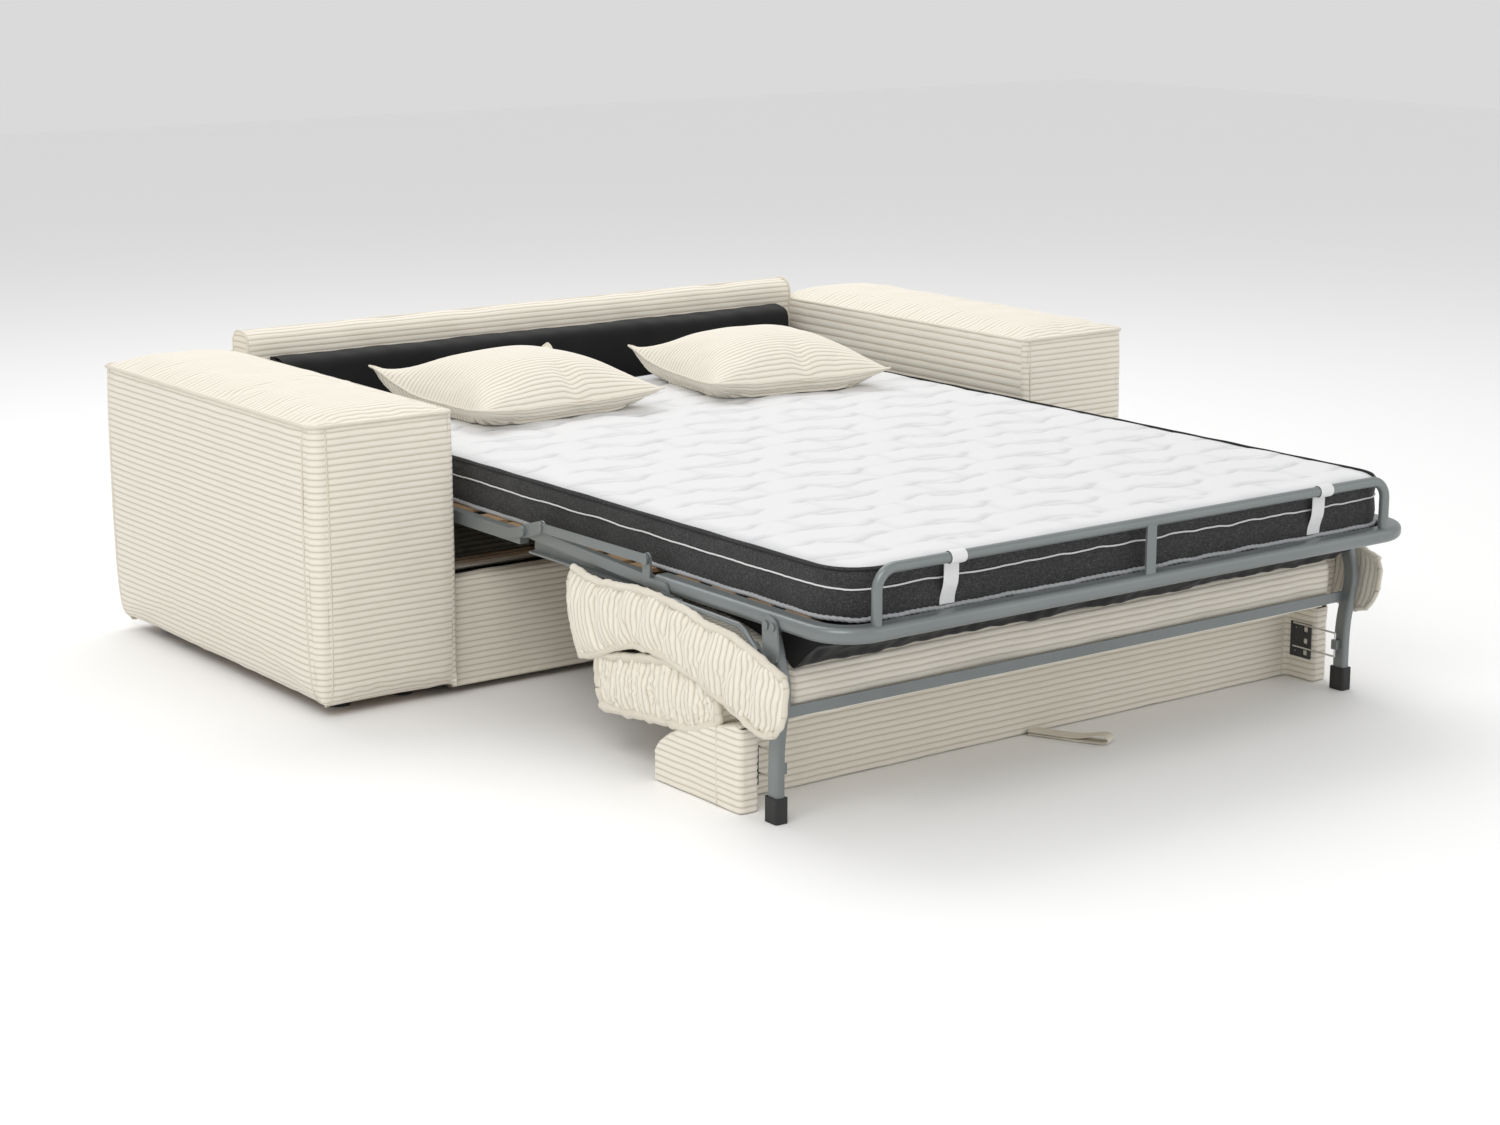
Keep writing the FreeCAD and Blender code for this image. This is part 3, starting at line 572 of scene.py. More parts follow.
def sweep(steps, x0, x1, n, m=None):
    """A side view outline carried across from x0 to x1."""
    curve = along(side_curve(steps, 0), m or 2 * len(steps))
    grid = np.repeat(curve[:, None], n, 1)
    grid[:, :, 0] = np.linspace(x0, x1, n)[None]
    return grid


def border(nu, nv):
    """True on the outer rows and columns of a grid."""
    held = np.ones((nu, nv), bool)
    held[1:-1, 1:-1] = False
    return held


def settle(patches, held, push=4.0, slack=0.03, limit=9.0, frames=14, seed=7):
    """A short cloth run on the coarse patches of one sewn cover; slack cloth is blown out and wrinkles."""
    patches = [np.asarray(g, float) for g in patches]
    flat = np.concatenate([g.reshape(-1, 3) for g in patches])
    pins = np.concatenate([np.asarray(h).reshape(-1) for h in held])
    near = np.round(flat * 2).astype(int)
    _, first, back_to = np.unique(near, axis=0, return_index=True, return_inverse=True)
    back_to = back_to.reshape(-1)
    rng = np.random.default_rng(seed)
    start = flat[first] * MM
    start = start + rng.normal(size=start.shape) * 0.0004 * (~pins[first])[:, None]
    faces, base = [], 0
    for g in patches:
        nu, nv = g.shape[:2]
        ids = back_to[base + np.arange(nu * nv)].reshape(nu, nv)
        quads = np.stack([ids[:-1, :-1], ids[1:, :-1], ids[1:, 1:], ids[:-1, 1:]], -1).reshape(-1, 4)
        faces += [q for q in quads.tolist() if len(set(q)) == 4]
        base += nu * nv
    mesh = bpy.data.meshes.new("cloth_run")
    mesh.from_pydata(start.tolist(), [], faces)
    obj = bpy.data.objects.new("cloth_run", mesh)
    bpy.context.scene.collection.objects.link(obj)
    group = obj.vertex_groups.new(name="held")
    group.add([int(i) for i in np.where(pins[first])[0]], 1.0, "REPLACE")
    cloth = obj.modifiers.new("cloth", "CLOTH")
    cloth.settings.quality = 6
    cloth.settings.mass = 0.3
    cloth.settings.tension_stiffness = 20
    cloth.settings.compression_stiffness = 20
    cloth.settings.shear_stiffness = 8
    cloth.settings.bending_stiffness = 0.4
    cloth.settings.use_pressure = True
    cloth.settings.uniform_pressure_force = push
    cloth.settings.shrink_min = -slack
    cloth.settings.vertex_group_mass = "held"
    cloth.settings.effector_weights.gravity = 0
    cloth.collision_settings.use_collision = False
    cloth.point_cache.frame_start = 1
    cloth.point_cache.frame_end = frames
    scene = bpy.context.scene
    for frame_no in range(1, frames + 1):
        scene.frame_set(frame_no)
    done = obj.evaluated_get(bpy.context.evaluated_depsgraph_get()).to_mesh()
    moved = np.empty(len(start) * 3)
    done.vertices.foreach_get("co", moved)
    moved = moved.reshape(-1, 3) / MM
    bpy.data.objects.remove(obj)
    bpy.data.meshes.remove(mesh)
    scene.frame_set(1)
    step = moved[back_to] - flat
    size = np.linalg.norm(step, axis=1, keepdims=True)
    step *= np.minimum(1, limit / np.maximum(size, 1e-6))
    out, base = [], 0
    for g in patches:
        n = g.shape[0] * g.shape[1]
        out.append(g + step[base : base + n].reshape(g.shape))
        base += n
    return out


def blown(grid, facing, push=4.0, slack=0.03, limit=9.0, seed=7, nu=None, nv=None):
    """One panel, held round its edge and blown out a little from within."""
    g = orient(np.asarray(grid, float), facing, None)
    g = cubic(cubic(g, nu or len(g)), nv or g.shape[1], 1)
    return settle([g], [border(*g.shape[:2])], push, slack, limit, seed=seed)[0]


# Arms
TUCK_Z = [FLOOR_GAP, 27, 36, 52, 75, 110, 160, 230, 330, 440, 515, 562, ARM_SEAM]
TUCK_IN = [40.0, 27, 17, 11, 7.5, 4.5, 2.3, 0.8, 0, 0.6, 1.8, 3.2, SEAM_TUCK]


def arm_wall(points, outward, share):
    """An upright wall over plan points (x, reach) with the arm's tucked foot and soft swell."""
    grid = np.zeros((len(points), len(TUCK_Z), 3))
    for i, ((x, reach), (ox, oy), w) in enumerate(zip(points, outward, share)):
        for k, (z, tuck) in enumerate(zip(TUCK_Z, TUCK_IN)):
            grid[i, k] = xyz(x - ox * tuck * w, reach - oy * tuck * w, z)
    return grid


def arc(cx, cr, radius, a0, a1, n):
    """Plan points on a round corner, and the outward direction at each."""
    out = [(math.cos(a), math.sin(a)) for a in np.radians(np.linspace(a0, a1, n))]
    return [(cx + radius * ox, cr + radius * oy) for ox, oy in out], out


def arm(name, sign, seed):
    """One arm's cover: ribbed walls, stitched corners and a crowned top."""
    corner = 26.0
    inner_corner = 12.0
    front_arc, front_out = arc(HALF - corner, -corner, corner, 0, 90, 7)
    back_arc, back_out = arc(HALF - corner, -DEPTH + corner, corner, -90, 0, 7)
    inner_arc, _ = arc(INNER + inner_corner, -inner_corner, inner_corner, 90, 180, 5)
    outer = [(HALF, r) for r in np.linspace(-DEPTH + corner, -corner, 16)]
    front = [(x, 0.0) for x in np.linspace(HALF - corner, INNER + inner_corner, 8)]
    rear = [(x, -DEPTH) for x in np.linspace(INNER, HALF - corner, 8)]
    inner = [(INNER, r) for r in np.linspace(-inner_corner, -DEPTH, 16)]
    inner_out = [(0, math.sin(a)) for a in np.linspace(math.pi / 2, math.pi, 5)]
    walls = {
        "outer": arm_wall(outer, [(1, 0)] * 16, [1] * 16),
        "front": arm_wall(front, [(0, 1)] * 8, [1] * 8),
        "rear": arm_wall(rear, [(0, -1)] * 8, [1] * 8),
        "front_corner": arm_wall(front_arc, front_out, [1] * 7),
        "rear_corner": arm_wall(back_arc, back_out, [1] * 7),
        "inner_corner": arm_wall(inner_arc, inner_out, [1] * 5),
        "inner": arm_wall(inner, [(0, 0)] * 16, [0] * 16),
    }
    for grid in walls.values():
        grid[:, :, 0] *= sign
    face = {
        "outer": (sign, 0, 0),
        "front": (0, -1, 0),
        "rear": (0, 1, 0),
        "front_corner": (sign, -1, 0),
        "rear_corner": (sign, 1, 0),
        "inner_corner": (-sign, -1, 0),
        "inner": (-sign, 0, 0),
    }
    for key in ("outer", "front", "rear", "inner"):
        rows = 34 if key in ("outer", "inner") else 14
        limit = 5.0 if key == "outer" else 3.0
        walls[key] = blown(walls[key], face[key], 2.5, 0.006, limit, seed, rows, 22)
    panels = []
    for key, grid in walls.items():
        pitch = INNER_ARM_PITCH if key == "inner" else BAND_PITCH
        depth = 0.7 if key.endswith("corner") else 1.5
        steps = 9 if key.endswith("corner") else 40
        panels.append(ribbed(grid, 1, face[key], pitch, depth, steps, seed, 0.8 if steps == 40 else 0.2))
    # the crowned top
    def at_seam(points, outward):
        tucked = [(x - SEAM_TUCK * ox, r - SEAM_TUCK * oy) for (x, r), (ox, oy) in zip(points, outward)]
        return [xyz(sign * x, r, ARM_SEAM) for x, r in tucked]

    fa, ba = at_seam(front_arc, front_out), at_seam(back_arc, back_out)
    near = [(INNER, -inner_corner), (INNER + 3.5, -7.5), (INNER + inner_corner, -SEAM_TUCK)]
    near = [xyz(sign * x, r, ARM_SEAM) for x, r in near] + fa[::-1][:4]
    far = [xyz(sign * x, -DEPTH + SEAM_TUCK, ARM_SEAM) for x in (INNER, INNER + 100)] + ba[:4]
    top = coons(near, far, [near[0], far[0]], fa[3::-1] + ba[:2:-1], 22, 50, straight)
    u = np.linspace(-1, 1, 22)[:, None]
    v = np.linspace(-1, 1, 50)[None]
    top[:, :, 2] += ARM_CROWN * (1 - np.abs(u) ** 3.2) * (1 - np.abs(v) ** 12) - 1.0
    top = blown(top, (0, 0, 1), 3.0, 0.01, 5.0, seed + 1)
    panels.append(ribbed(top, 1, (0, 0, 1), BAND_PITCH, 1.5, 34, seed + 1, 1.2))
    low_x, low_r, low_z = (INNER, HALF - 42), (-40, -DEPTH + 40), 23
    low_curves = [[xyz(sign * x, r, low_z) for x in low_x] for r in low_r]
    low_curves += [[xyz(sign * x, r, low_z) for r in low_r] for x in low_x]
    low = coons(*low_curves, 12, 30)
    panels.append((*smooth_panel(low, 12, 30, (0, 0, -1), seed + 2, 0.8), 2))
    # the seam that runs round the top edge, and the doubled seams down the corners
    plan = rear[::2] + back_arc[1:-1] + outer + front_arc[1:-1] + front + inner_arc[1:]
    plan += [(INNER, r) for r in (-200, -600, -DEPTH)]
    loop = np.array([xyz(sign * x, r, ARM_SEAM - 1) for x, r in plan])
    centre = np.array([sign * (INNER + HALF) / 2, FRONT_Y + DEPTH / 2, ARM_SEAM - 1])
    loop += (centre - loop) * np.array([0.012, 0.006, 0])
    panels.append((*tube_grid(straight(loop, 260), 4.2, 8, seed=seed), 1))
    for key, spots in (("outer", (0.012, 0.988)), ("front", (0.03,)), ("rear", (0.97,))):
        grid = cubic(walls[key], 200, 0)
        lean = normals(grid)
        if lean.mean((0, 1)) @ np.array(face[key]) <= 0:
            lean = -lean
        for spot in spots:
            row = int(spot * 199)
            line = cubic(grid[row], 90) + cubic(lean[row], 90) * 0.4
            panels.append((*tube_grid(line, 1.9, 6, seed=seed), 1))
    return cover(name, panels, "sofa_body", CORD_AND_BLACK)


arm("arm_cover_right", 1, 11)
arm("arm_cover_left", -1, 23)


# Back, base and linings
def back():
    """The low back's cover, with a rounded top and stitched ends."""
    round_front = [(-899, 622), (-906, 638), (-918, 646)]
    round_rear = [(-948, 646), (-959, 638), (-965, 622)]
    crest = (-932, BACK_HEIGHT)
    profile = [(-899, 24), (-898, 200), (-897, 420), (-897, 600), *round_front, crest]
    rear = [crest, *round_rear, (-967, 600), (-967, 300), (-966, 60), (-962, 28)]
    panels = [
        ribbed(sweep(profile, -INNER, INNER, 40, 26), 0, (0, -1, 0.2), BAND_PITCH, 1.5, 90, 31, 1.2),
        ribbed(sweep(rear, -INNER, INNER, 40, 26), 0, (0, 1, 0.2), BAND_PITCH, 1.5, 90, 32, 1.2),
        (*smooth_panel(sweep([(-962, 26), (-899, 24)], -INNER, INNER, 40, 3), 3, 40, (0, 0, -1), 3, 0.3), 2),
    ]
    for sign in (-1, 1):
        x = sign * (INNER - 0.5)
        front_side = side_curve([(-898, 540), (-897.5, 600), *round_front], x)
        rear_side = side_curve([(-966, 540), (-966, 600), *round_rear[::-1]], x)
        crest_line = side_curve([round_front[-1], crest, round_rear[0]], x)
        foot_line = side_curve([(-898, 540), (-966, 540)], x)
        cap = coons(foot_line, crest_line, front_side, rear_side, 12, 20)
        panels.append(ribbed(cap, 1, (sign, 0, 0), BAND_PITCH, 1.2, 16, 33, 0.5))
        seam = np.array(side_curve(profile[2:] + rear[1:6], sign * (INNER - 2)))
        panels.append((*tube_grid(cubic(seam, 200), 3.2, 8, seed=34), 1))
    crest_seam = sweep([(-932, 646.5), (-932.2, 646.5)], -INNER + 2, INNER - 2, 60, 3)[0]
    panels.append((*tube_grid(straight(crest_seam, 300), 3.0, 8, seed=35), 1))
    return cover("back_cover", panels, "sofa_body", CORD_AND_BLACK)


back()


def lining():
    """Loose black cloth behind the mattress's head."""
    steps = [
        (-897, 588), (-880, 590), (-850, 586), (-832, 574), (-828, 540), (-829, 420), (-828, 300),
        (-832, 262), (-860, 252), (-897, 254),
    ]
    grid = sweep(steps, -LINING_HALF, LINING_HALF, 120, 40)
    grid[:, :, 2] += wobble(grid, 0.8, 320.0, 41) * (grid[:, :, 2] > 500)
    panels = [smooth_panel(grid, 80, 240, (0, -1, 0), 42, 1.2, 150.0)]
    for x in (-LINING_HALF, LINING_HALF):
        cap = coons(
            side_curve([(-897, 254), (-860, 252), (-832, 262)], x),
            side_curve([(-897, 588), (-880, 590), (-832, 574)], x),
            side_curve([(-897, 254), (-897, 588)], x),
            side_curve([(-832, 262), (-828, 420), (-832, 574)], x),
            12,
            40,
        )
        panels.append(smooth_panel(cap, 12, 40, (x, 0, 0), 43, 1.0))
    return panels_object("back_lining", panels, [BLACK], "sofa_body", ["back_lining"])


lining()


def rail():
    """The low front rail's cover."""
    profile = [
        (-31, 16), (-30, 60), (-29.5, 130), (-30, 200), (-30, 232), (-33, 242), (-42, 247), (-56, 247.5),
        (-65, 246),
    ]
    rear = [(-65, 246), (-66, 240), (-66, 130), (-66, 22), (-64, 16)]
    panels = [
        ribbed(sweep(profile, -INNER, INNER, 40, 26), 0, (0, -1, 0.3), BAND_PITCH, 1.5, 80, 51, 1.0),
        ribbed(sweep(rear, -INNER, INNER, 40, 16), 0, (0, 1, 0), BAND_PITCH, 1.2, 60, 52, 0.6),
        smooth_panel(sweep([(-64, 16), (-31, 16)], -INNER, INNER, 30, 3), 3, 30, (0, 0, -1), 3, 0.1),
    ]
    return panels_object(
        "front_rail_cover", panels, [CORD], "sofa_body", ["front_rail_cover"],
    )


rail()


def dust_cloth():
    """Thin black cloth under the base, sagging a little between its staples."""
    steps = [(-897, 24.5), (-480, 24.5), (-67, 24.5)]
    top = sweep(steps, -INNER, INNER, 60, 40)
    top[:, :, 2] -= 1.5 * np.abs(np.sin(top[:, :, 0] / 120)) * np.abs(np.sin(top[:, :, 1] / 100))
    low = top.copy()
    low[:, :, 2] -= 1.2
    panels = [smooth_panel(top, 60, 90, (0, 0, 1), 61, 0.4), smooth_panel(low, 60, 90, (0, 0, -1), 61, 0.4)]
    return panels_object("dust_cover", panels, [BLACK], "sofa_body", ["dust_cover"])


dust_cloth()


# Seat cushion: side views of its ends, as (reach, height)
FIN_TOP = [
    (430, 357), (498, 345), (590, 351), (677, 356), (769, 350), (858, 334), (933, 328), (1001, 311),
    (1050, 296), (1090, 281),
]
FIN_LOW = [
    (449, 187), (495, 198), (560, 224), (650, 246), (743, 243), (872, 213), (1001, 174), (1035, 168),
    (1066, 174),
]
FIN_REAR = [(449, 187), (434, 210), (419, 250), (411, 290), (413, 330), (430, 357)]
FIN_NOSE = [(1066, 174), (1084, 196), (1093, 228), (1097, 260), (1090, 281)]


def end_cap(low, top, rear, nose, x, swell, nu=44, nv=16):
    """The end of a cushion between four side curves, swollen in the middle."""
    cap = coons(side_curve(low, x), side_curve(top, x), side_curve(rear, x), side_curve(nose, x), nu, nv)
    u = np.sin(np.linspace(0, math.pi, nu))[:, None] ** 0.5
    v = np.sin(np.linspace(0, math.pi, nv))[None] ** 0.6
    cap[:, :, 0] += math.copysign(swell, x) * u * v
    return cap


def welt(path, radius, seed, wave=1.3):
    """A rolled edge of cloth along a path, uneven as sewn cloth is."""
    length = lengths(path).sum()
    p = straight(path, max(40, int(length / 5)))
    p = p + np.stack([wobble(p[None], wave, 70.0, seed + k)[0] for k in range(3)], 1)
    return tube_grid(p, radius, 10, seed=seed, rough=0.10)


def seat():
    """The seat cushion, folded under the bed with its ends standing out past the frame."""
    body = [
        (430, 232), (414, 262), (411, 290), (415, 318), (432, 336), (500, 339), (640, 339), (769, 338),
        (858, 331),
        (933, 317), (985, 298), (1013, 279), (1023, 262), (1024, 220), (1020, 190), (1001, 175), (940, 190),
        (872, 212), (800, 232), (743, 243), (650, 246), (560, 224), (495, 199), (470, 186), (449, 187),
        (430, 232),
    ]
    grid = sweep(body, -NOTCH, NOTCH, 90, 110)
    over = np.clip((np.abs(grid[:, :, 0]) - 690) / 26, 0, 1)
    over = over * over * (3 - 2 * over)
    reach = FRONT_Y - grid[:, :, 1]
    pulled = np.where(reach > 930, 930 + (reach - 930) * 0.5, reach)
    grid[:, :, 1] = FRONT_Y - (reach * (1 - over) + pulled * over)
    sag = wobble(grid, 4.0, 420.0, 71)
    grid[:, :, 1] -= sag * (grid[:, :, 2] < 275) * 0.5
    panels = [ribbed(grid, 0, None, BAND_PITCH, 1.5, 150, 72, 1.5, fade=False)]
    for sign, seed in ((1, 81), (-1, 91)):
        outer = end_cap(FIN_LOW, FIN_TOP, FIN_REAR, FIN_NOSE, sign * CUSHION_END, 9)
        outer += wobble(outer, 1.6, 130.0, seed)[:, :, None] * np.array([sign, 0, 0])
        outer = blown(outer, (sign, 0, 0), 4.0, 0.04, 8.0, seed)
        panels.append(ribbed(outer, 0, (sign, 0, 0), BAND_PITCH, 1.6, 26, seed, 1.2))
        inner = end_cap(FIN_LOW, FIN_TOP, FIN_REAR, FIN_NOSE, sign * (CUSHION_END - 5), -1)
        panels.append(ribbed(inner, 0, (-sign, 0, 0), BAND_PITCH, 1.2, 16, seed + 1, 0.5))
        edges = [
            (FIN_TOP, CUSHION_END - 1, 90, 8.0, 1.3),
            (FIN_LOW, CUSHION_END - 1, 90, 7.0, 1.3),
            (FIN_REAR, CUSHION_END - 2, 40, 5.5, 0.8),
            (FIN_NOSE, CUSHION_END - 2, 40, 5.5, 0.8),
        ]
        for k, (steps, x, points, radius, wave) in enumerate(edges):
            line = along(side_curve(steps, sign * x), points)
            panels.append((*welt(line, radius, seed + 2 + k, wave), 1))
    return cover("seat_cushion", panels, "legs_and_backrest")


seat()


def seat_lining():
    """The slack black cloth between the foot frame and the seat cushion."""
    steps = [
        (674, 342), (674, 371), (700, 372.5), (900, 370), (1100, 371), (1166, 371), (1168, 361),
        (1130, 343), (1085, 323),
        (1058, 306), (1040, 290), (1028, 277), (1024, 283), (1000, 296), (933, 319), (858, 333),
        (769, 340), (690, 340), (674, 342),
    ]
    grid = sweep(steps, -SEAT_LINING_HALF, SEAT_LINING_HALF, 200, 90)
    reach = FRONT_Y - grid[:, :, 1]
    low = np.clip((reach - 1015) / 50, 0, 1) * np.clip((360 - grid[:, :, 2]) / 40, 0, 1)
    hang = wobble(grid, 7.0, 260.0, 101) + wobble(grid, 3.0, 90.0, 102)
    grid[:, :, 2] += low * (hang - 2)
    grid[:, :, 1] += low * wobble(grid, 5.0, 200.0, 103)
    # pulled in at the tube's rounded corners
    far = np.clip((reach - 1110) / 60, 0, 1)
    grid[:, :, 0] *= 1 - 0.055 * far * far
    panels = [smooth_panel(grid, 120, 300, None, 104, 1.3, 110.0)]
    for sign, side in ((-1, 0), (1, -1)):
        rim = grid[:, side]
        cap = coons([rim[0]] * 2, [rim[45]] * 2, rim[:46], rim[::-1][:45], 12, 40)
        panels.append(smooth_panel(cap, 12, 40, (sign, 0, 0), 105, 0.5))
    return panels_object(
        "seat_pad_black", panels, [BLACK], "foot_section", ["seat_pad_black"],
    )


seat_lining()


# The backrest's cushion and shell: side views as (reach, height)
BACK_TOP = [(497, 199), (560, 209), (620, 219), (680, 230), (743, 235), (827, 226), (868, 211), (886, 196)]
BACK_LOW = [(516, 103), (560, 103), (661, 114), (730, 118), (791, 122), (845, 134), (888, 152)]
BACK_REAR = [(516, 103), (507, 114), (499, 155), (497, 199)]
BACK_NOSE = [(888, 152), (895, 172), (886, 196)]


def back_pad():
    """The back cushion, with pleated ends and thick rolled edges."""
    loop = BACK_REAR[:-1] + BACK_TOP + [(893, 180)] + BACK_LOW[::-1]
    grid = sweep(loop, -PAD_END - 4, PAD_END + 4, 90, 90)
    panels = [ribbed(grid, 0, None, BAND_PITCH, 1.5, 120, 111, 2.0, fade=False)]
    for sign, seed in ((1, 121), (-1, 131)):
        cap = end_cap(BACK_LOW, BACK_TOP, BACK_REAR, BACK_NOSE, sign * PAD_END, 8, 60, 24)
        nu, nv = cap.shape[:2]
        rng = np.random.default_rng(seed)
        u = np.linspace(0, 1, nu)[:, None]
        v = np.linspace(0, 1, nv)[None]
        waves = zip((1.5, 1.2, 0.9), (11, 17, 7), rng.uniform(0, 6, 3))
        pleat = sum(a * np.sin(2 * math.pi * (k * u + 0.25 * v) + p) for a, k, p in waves)
        edge = np.exp(-((1 - v) / 0.35) ** 2) + 0.6 * np.exp(-((v) / 0.3) ** 2)
        cap[:, :, 0] += sign * pleat * edge * 1.3
        cap = blown(cap, (sign, 0, 0), 4.0, 0.06, 9.0, seed)
        panels.append(ribbed(cap, 0, (sign, 0, 0), BAND_PITCH, 1.7, 40, seed, 1.4))
        for steps, radius in ((BACK_TOP, 9.0), (BACK_LOW, 9.5), (BACK_REAR, 7.5), (BACK_NOSE, 8.5)):
            line = along(side_curve(steps, sign * PAD_END), 70)
            panels.append((*welt(line, radius, seed + len(steps), 1.6), 1))
    return cover("back_cushion", panels, "legs_and_backrest")


back_pad()


def shell():
    """The backrest's cover: upright walls round the wings, and a curved back and underside."""
    rib_count = 13
    floor_z, top_level = 0.6, 165.0
    front, back_wall = 965, 890
    side_seams = ((SHELL_HALF, 893), (WING_IN - 14, 890.5), (WING_IN + 0.3, 905))
    path = [(SHELL_HALF, r) for r in np.linspace(699.5, 952, 10)]
    path += [(SHELL_HALF - 2.3, 960.5), (SHELL_HALF - 8, front), (WING_IN + 8, front)]
    path += [(WING_IN + 2.3, 960.5), (WING_IN, 952), (WING_IN, 930), (WING_IN - 0.5, 902)]
    path += [(WING_IN - 4, 893), (WING_IN - 12, back_wall)]
    path += [(x, back_wall) for x in np.linspace(690, 0, 12)]
    path = path + [(-x, r) for x, r in path[::-1][1:]]
    top_reach = [698, 712, 746, 790, 837, 890, 950, 965]
    top_z = [63, 82, 103, 125, 141, 152, 166, 160]
    pts = straight([(x, r, 0) for x, r in path], 900)
    run = np.gradient(pts, axis=0)
    run /= np.linalg.norm(run, axis=1, keepdims=True)
    out_x, out_r = run[:, 1][:, None], -run[:, 0][:, None]
    level = np.linspace(floor_z, top_level, rib_count * RIB_POINTS + 1)[None]
    high = np.interp(pts[:, 1], top_reach, top_z)[:, None] - 2
    round_in = 1 - np.exp(-np.maximum(level - (high - 3), 0) / 4.0)
    z = np.minimum(level, high - 3) + 3 * round_in
    phase = rib_count * (level - floor_z) / (top_level - floor_z)
    # the crest sets the corduroy's painted groove shade; the rolled top edge gets an even middle shade
    crest = np.abs(np.sin(math.pi * phase)) ** RIB_ROUND * (1 - round_in) + 0.6 * round_in
    flat = np.stack([pts[:, :1] + 0 * z, FRONT_Y - pts[:, 1:2] + 0 * z, z], 2)
    push = 1.5 * (crest - RIB_MIDDLE) * (1 - round_in) - 3.0 * round_in - 2.5 * np.exp(-level / 3.0)
    push = push + wobble(flat, 0.8, 140.0, 141)
    grid = flat + np.stack([out_x * push, -out_r * push, 0 * push], 2)
    turned = orient(grid, None, (0, FRONT_Y - 800, 60))
    if turned[0, 0, 0] != grid[0, 0, 0]:
        crest = crest[::-1]
    body = [
        (888, 1), (800, 0.6), (716, 1), (704, 5), (699, 14), (698, 40), (700, 62), (712, 80), (746, 103),
        (790, 125), (837, 141), (888, 151),
    ]
    rest = sweep(body, -SHELL_HALF + 2, SHELL_HALF - 2, 60, 60)
    panels = [(turned, crest), ribbed(rest, 0, None, BAND_PITCH, 1.3, 100, 142, 1.0, fade=False)]
    wing_top = [(886, 149.5), (915, 157), (948, 165), (960, 161)]
    wing_low = [(886, 1), (920, 0.8), (961, 1)]
    for sign in (-1, 1):
        for face, rows in (((0, 0, 1), wing_top), ((0, 0, -1), wing_low)):
            cap = sweep(rows, sign * (WING_IN + 2), sign * (SHELL_HALF - 2), 6, 14)
            panels.append(ribbed(cap, 0, face, BAND_PITCH, 1.0, 12, 143, 0.4))
        for x, r in side_seams:
            line = [xyz(sign * x, r, z) for z in np.linspace(3, 150, 40)]
            panels.append((*tube_grid(line, 1.8, 6, seed=144), 1))
    edge_top = side_curve([(716, 82), (746, 102), (790, 124), (837, 140), (890, 151), (950, 165)], 1.0)
    for sign in (-1, 1):
        line = np.array(along(edge_top, 90))
        line[:, 0] = sign * (SHELL_HALF - 5)
        line[:, 2] -= 3.0
        panels.append((*tube_grid(line, 4.0, 8, seed=145), 1))
    return cover("backrest_cover", panels, "legs_and_backrest")


shell()


def strap_ribbon(rows, width, axis, thick):
    """A flat strap along a path of points, with real thickness and rounded edges."""
    p = np.asarray(rows, float)
    p = cubic(p, 80)
    t = np.gradient(p, axis=0)
    t /= np.linalg.norm(t, axis=1, keepdims=True)
    side = np.asarray(axis, float)[None] / np.linalg.norm(axis) * np.ones((len(p), 1))
    up = np.cross(side, t)
    up /= np.linalg.norm(up, axis=1, keepdims=True)
    ring = []
    for k in range(25):
        a = 2 * math.pi * k / 24
        cx = math.copysign(min(1, abs(math.cos(a)) ** 0.35), math.cos(a)) * width / 2
        cz = math.copysign(min(1, abs(math.sin(a)) ** 0.8), math.sin(a)) * thick / 2
        ring.append(p + side * cx + up * cz)
    return orient(np.stack(ring, 1), None, p)


def pull_loop():
    """The stitched strap on the floor, doubled back with an open loop at its end."""
    turn = math.radians(26)
    width, thick = 34, 4.0
    upper = [(0, 8), (60, 7.4), (96, 8.4), (122, 13), (144, 18.0), (158, 18)]
    lower = [(167, 12), (163, 5.5), (150, 2.8), (122, 2.4), (60, 2.4), (2, 2.4)]
    path = [xyz(math.sin(turn) * s, 890 + s * math.cos(turn), z) for s, z in upper + lower]
    grid = strap_ribbon(path, width, (math.cos(turn), math.sin(turn), 0), thick)
    panels = [ribbed(grid, 1, "keep", 5.5, 0.5, 90, 151, 0.5, fade=False)]
    return panels_object(
        "pull_strap", panels, [CORD_PLAIN], "legs_and_backrest", ["pull_strap"]
    )


pull_loop()


# The guard's two elastic straps
def guard_straps():
    """Each goes once round the guard's tube and hangs down inside it to the frame."""
    tube_reach, tube_z, wrap = 1199, 481, 11.6
    panels = []
    for x in (-470, 470):
        turn = np.radians(np.linspace(200, -160, 22))
        ring = [(tube_reach + wrap * math.cos(a), tube_z + wrap * math.sin(a)) for a in turn]
        front = [(1187.4, 474), (1187.6, 450), (1186, 430), (1181, 415), (1177.5, 403), (1176.8, 391)]
        grid = strap_ribbon([xyz(x, r, z) for r, z in ring + front], 35, (1, 0, 0), 2.2)
        panels.append((grid, np.ones(grid.shape[:2])))
    return panels_object(
        "mattress_straps", panels, [ELASTIC], "foot_section", ["mattress_straps"],
    )


guard_straps()


# Mattress
def mattress_outline(step=12.0):
    """The mattress's rounded plan as evenly spaced points."""
    c = MATT_CORNER
    pts = []
    corners = [
        (MATT_HALF - c, MATT_FOOT - c, 0, 90),
        (-MATT_HALF + c, MATT_FOOT - c, 90, 180),
        (-MATT_HALF + c, MATT_HEAD + c, 180, 270),
        (MATT_HALF - c, MATT_HEAD + c, 270, 360),
    ]
    for cx, cr, a0, a1 in corners:
        for a in np.radians(np.linspace(a0, a1, 14)):
            pts.append((cx + c * math.cos(a), cr + c * math.sin(a), 0))
    pts.append(pts[0])
    run = lengths(np.array(pts)).sum()
    return straight(pts, int(run / step))


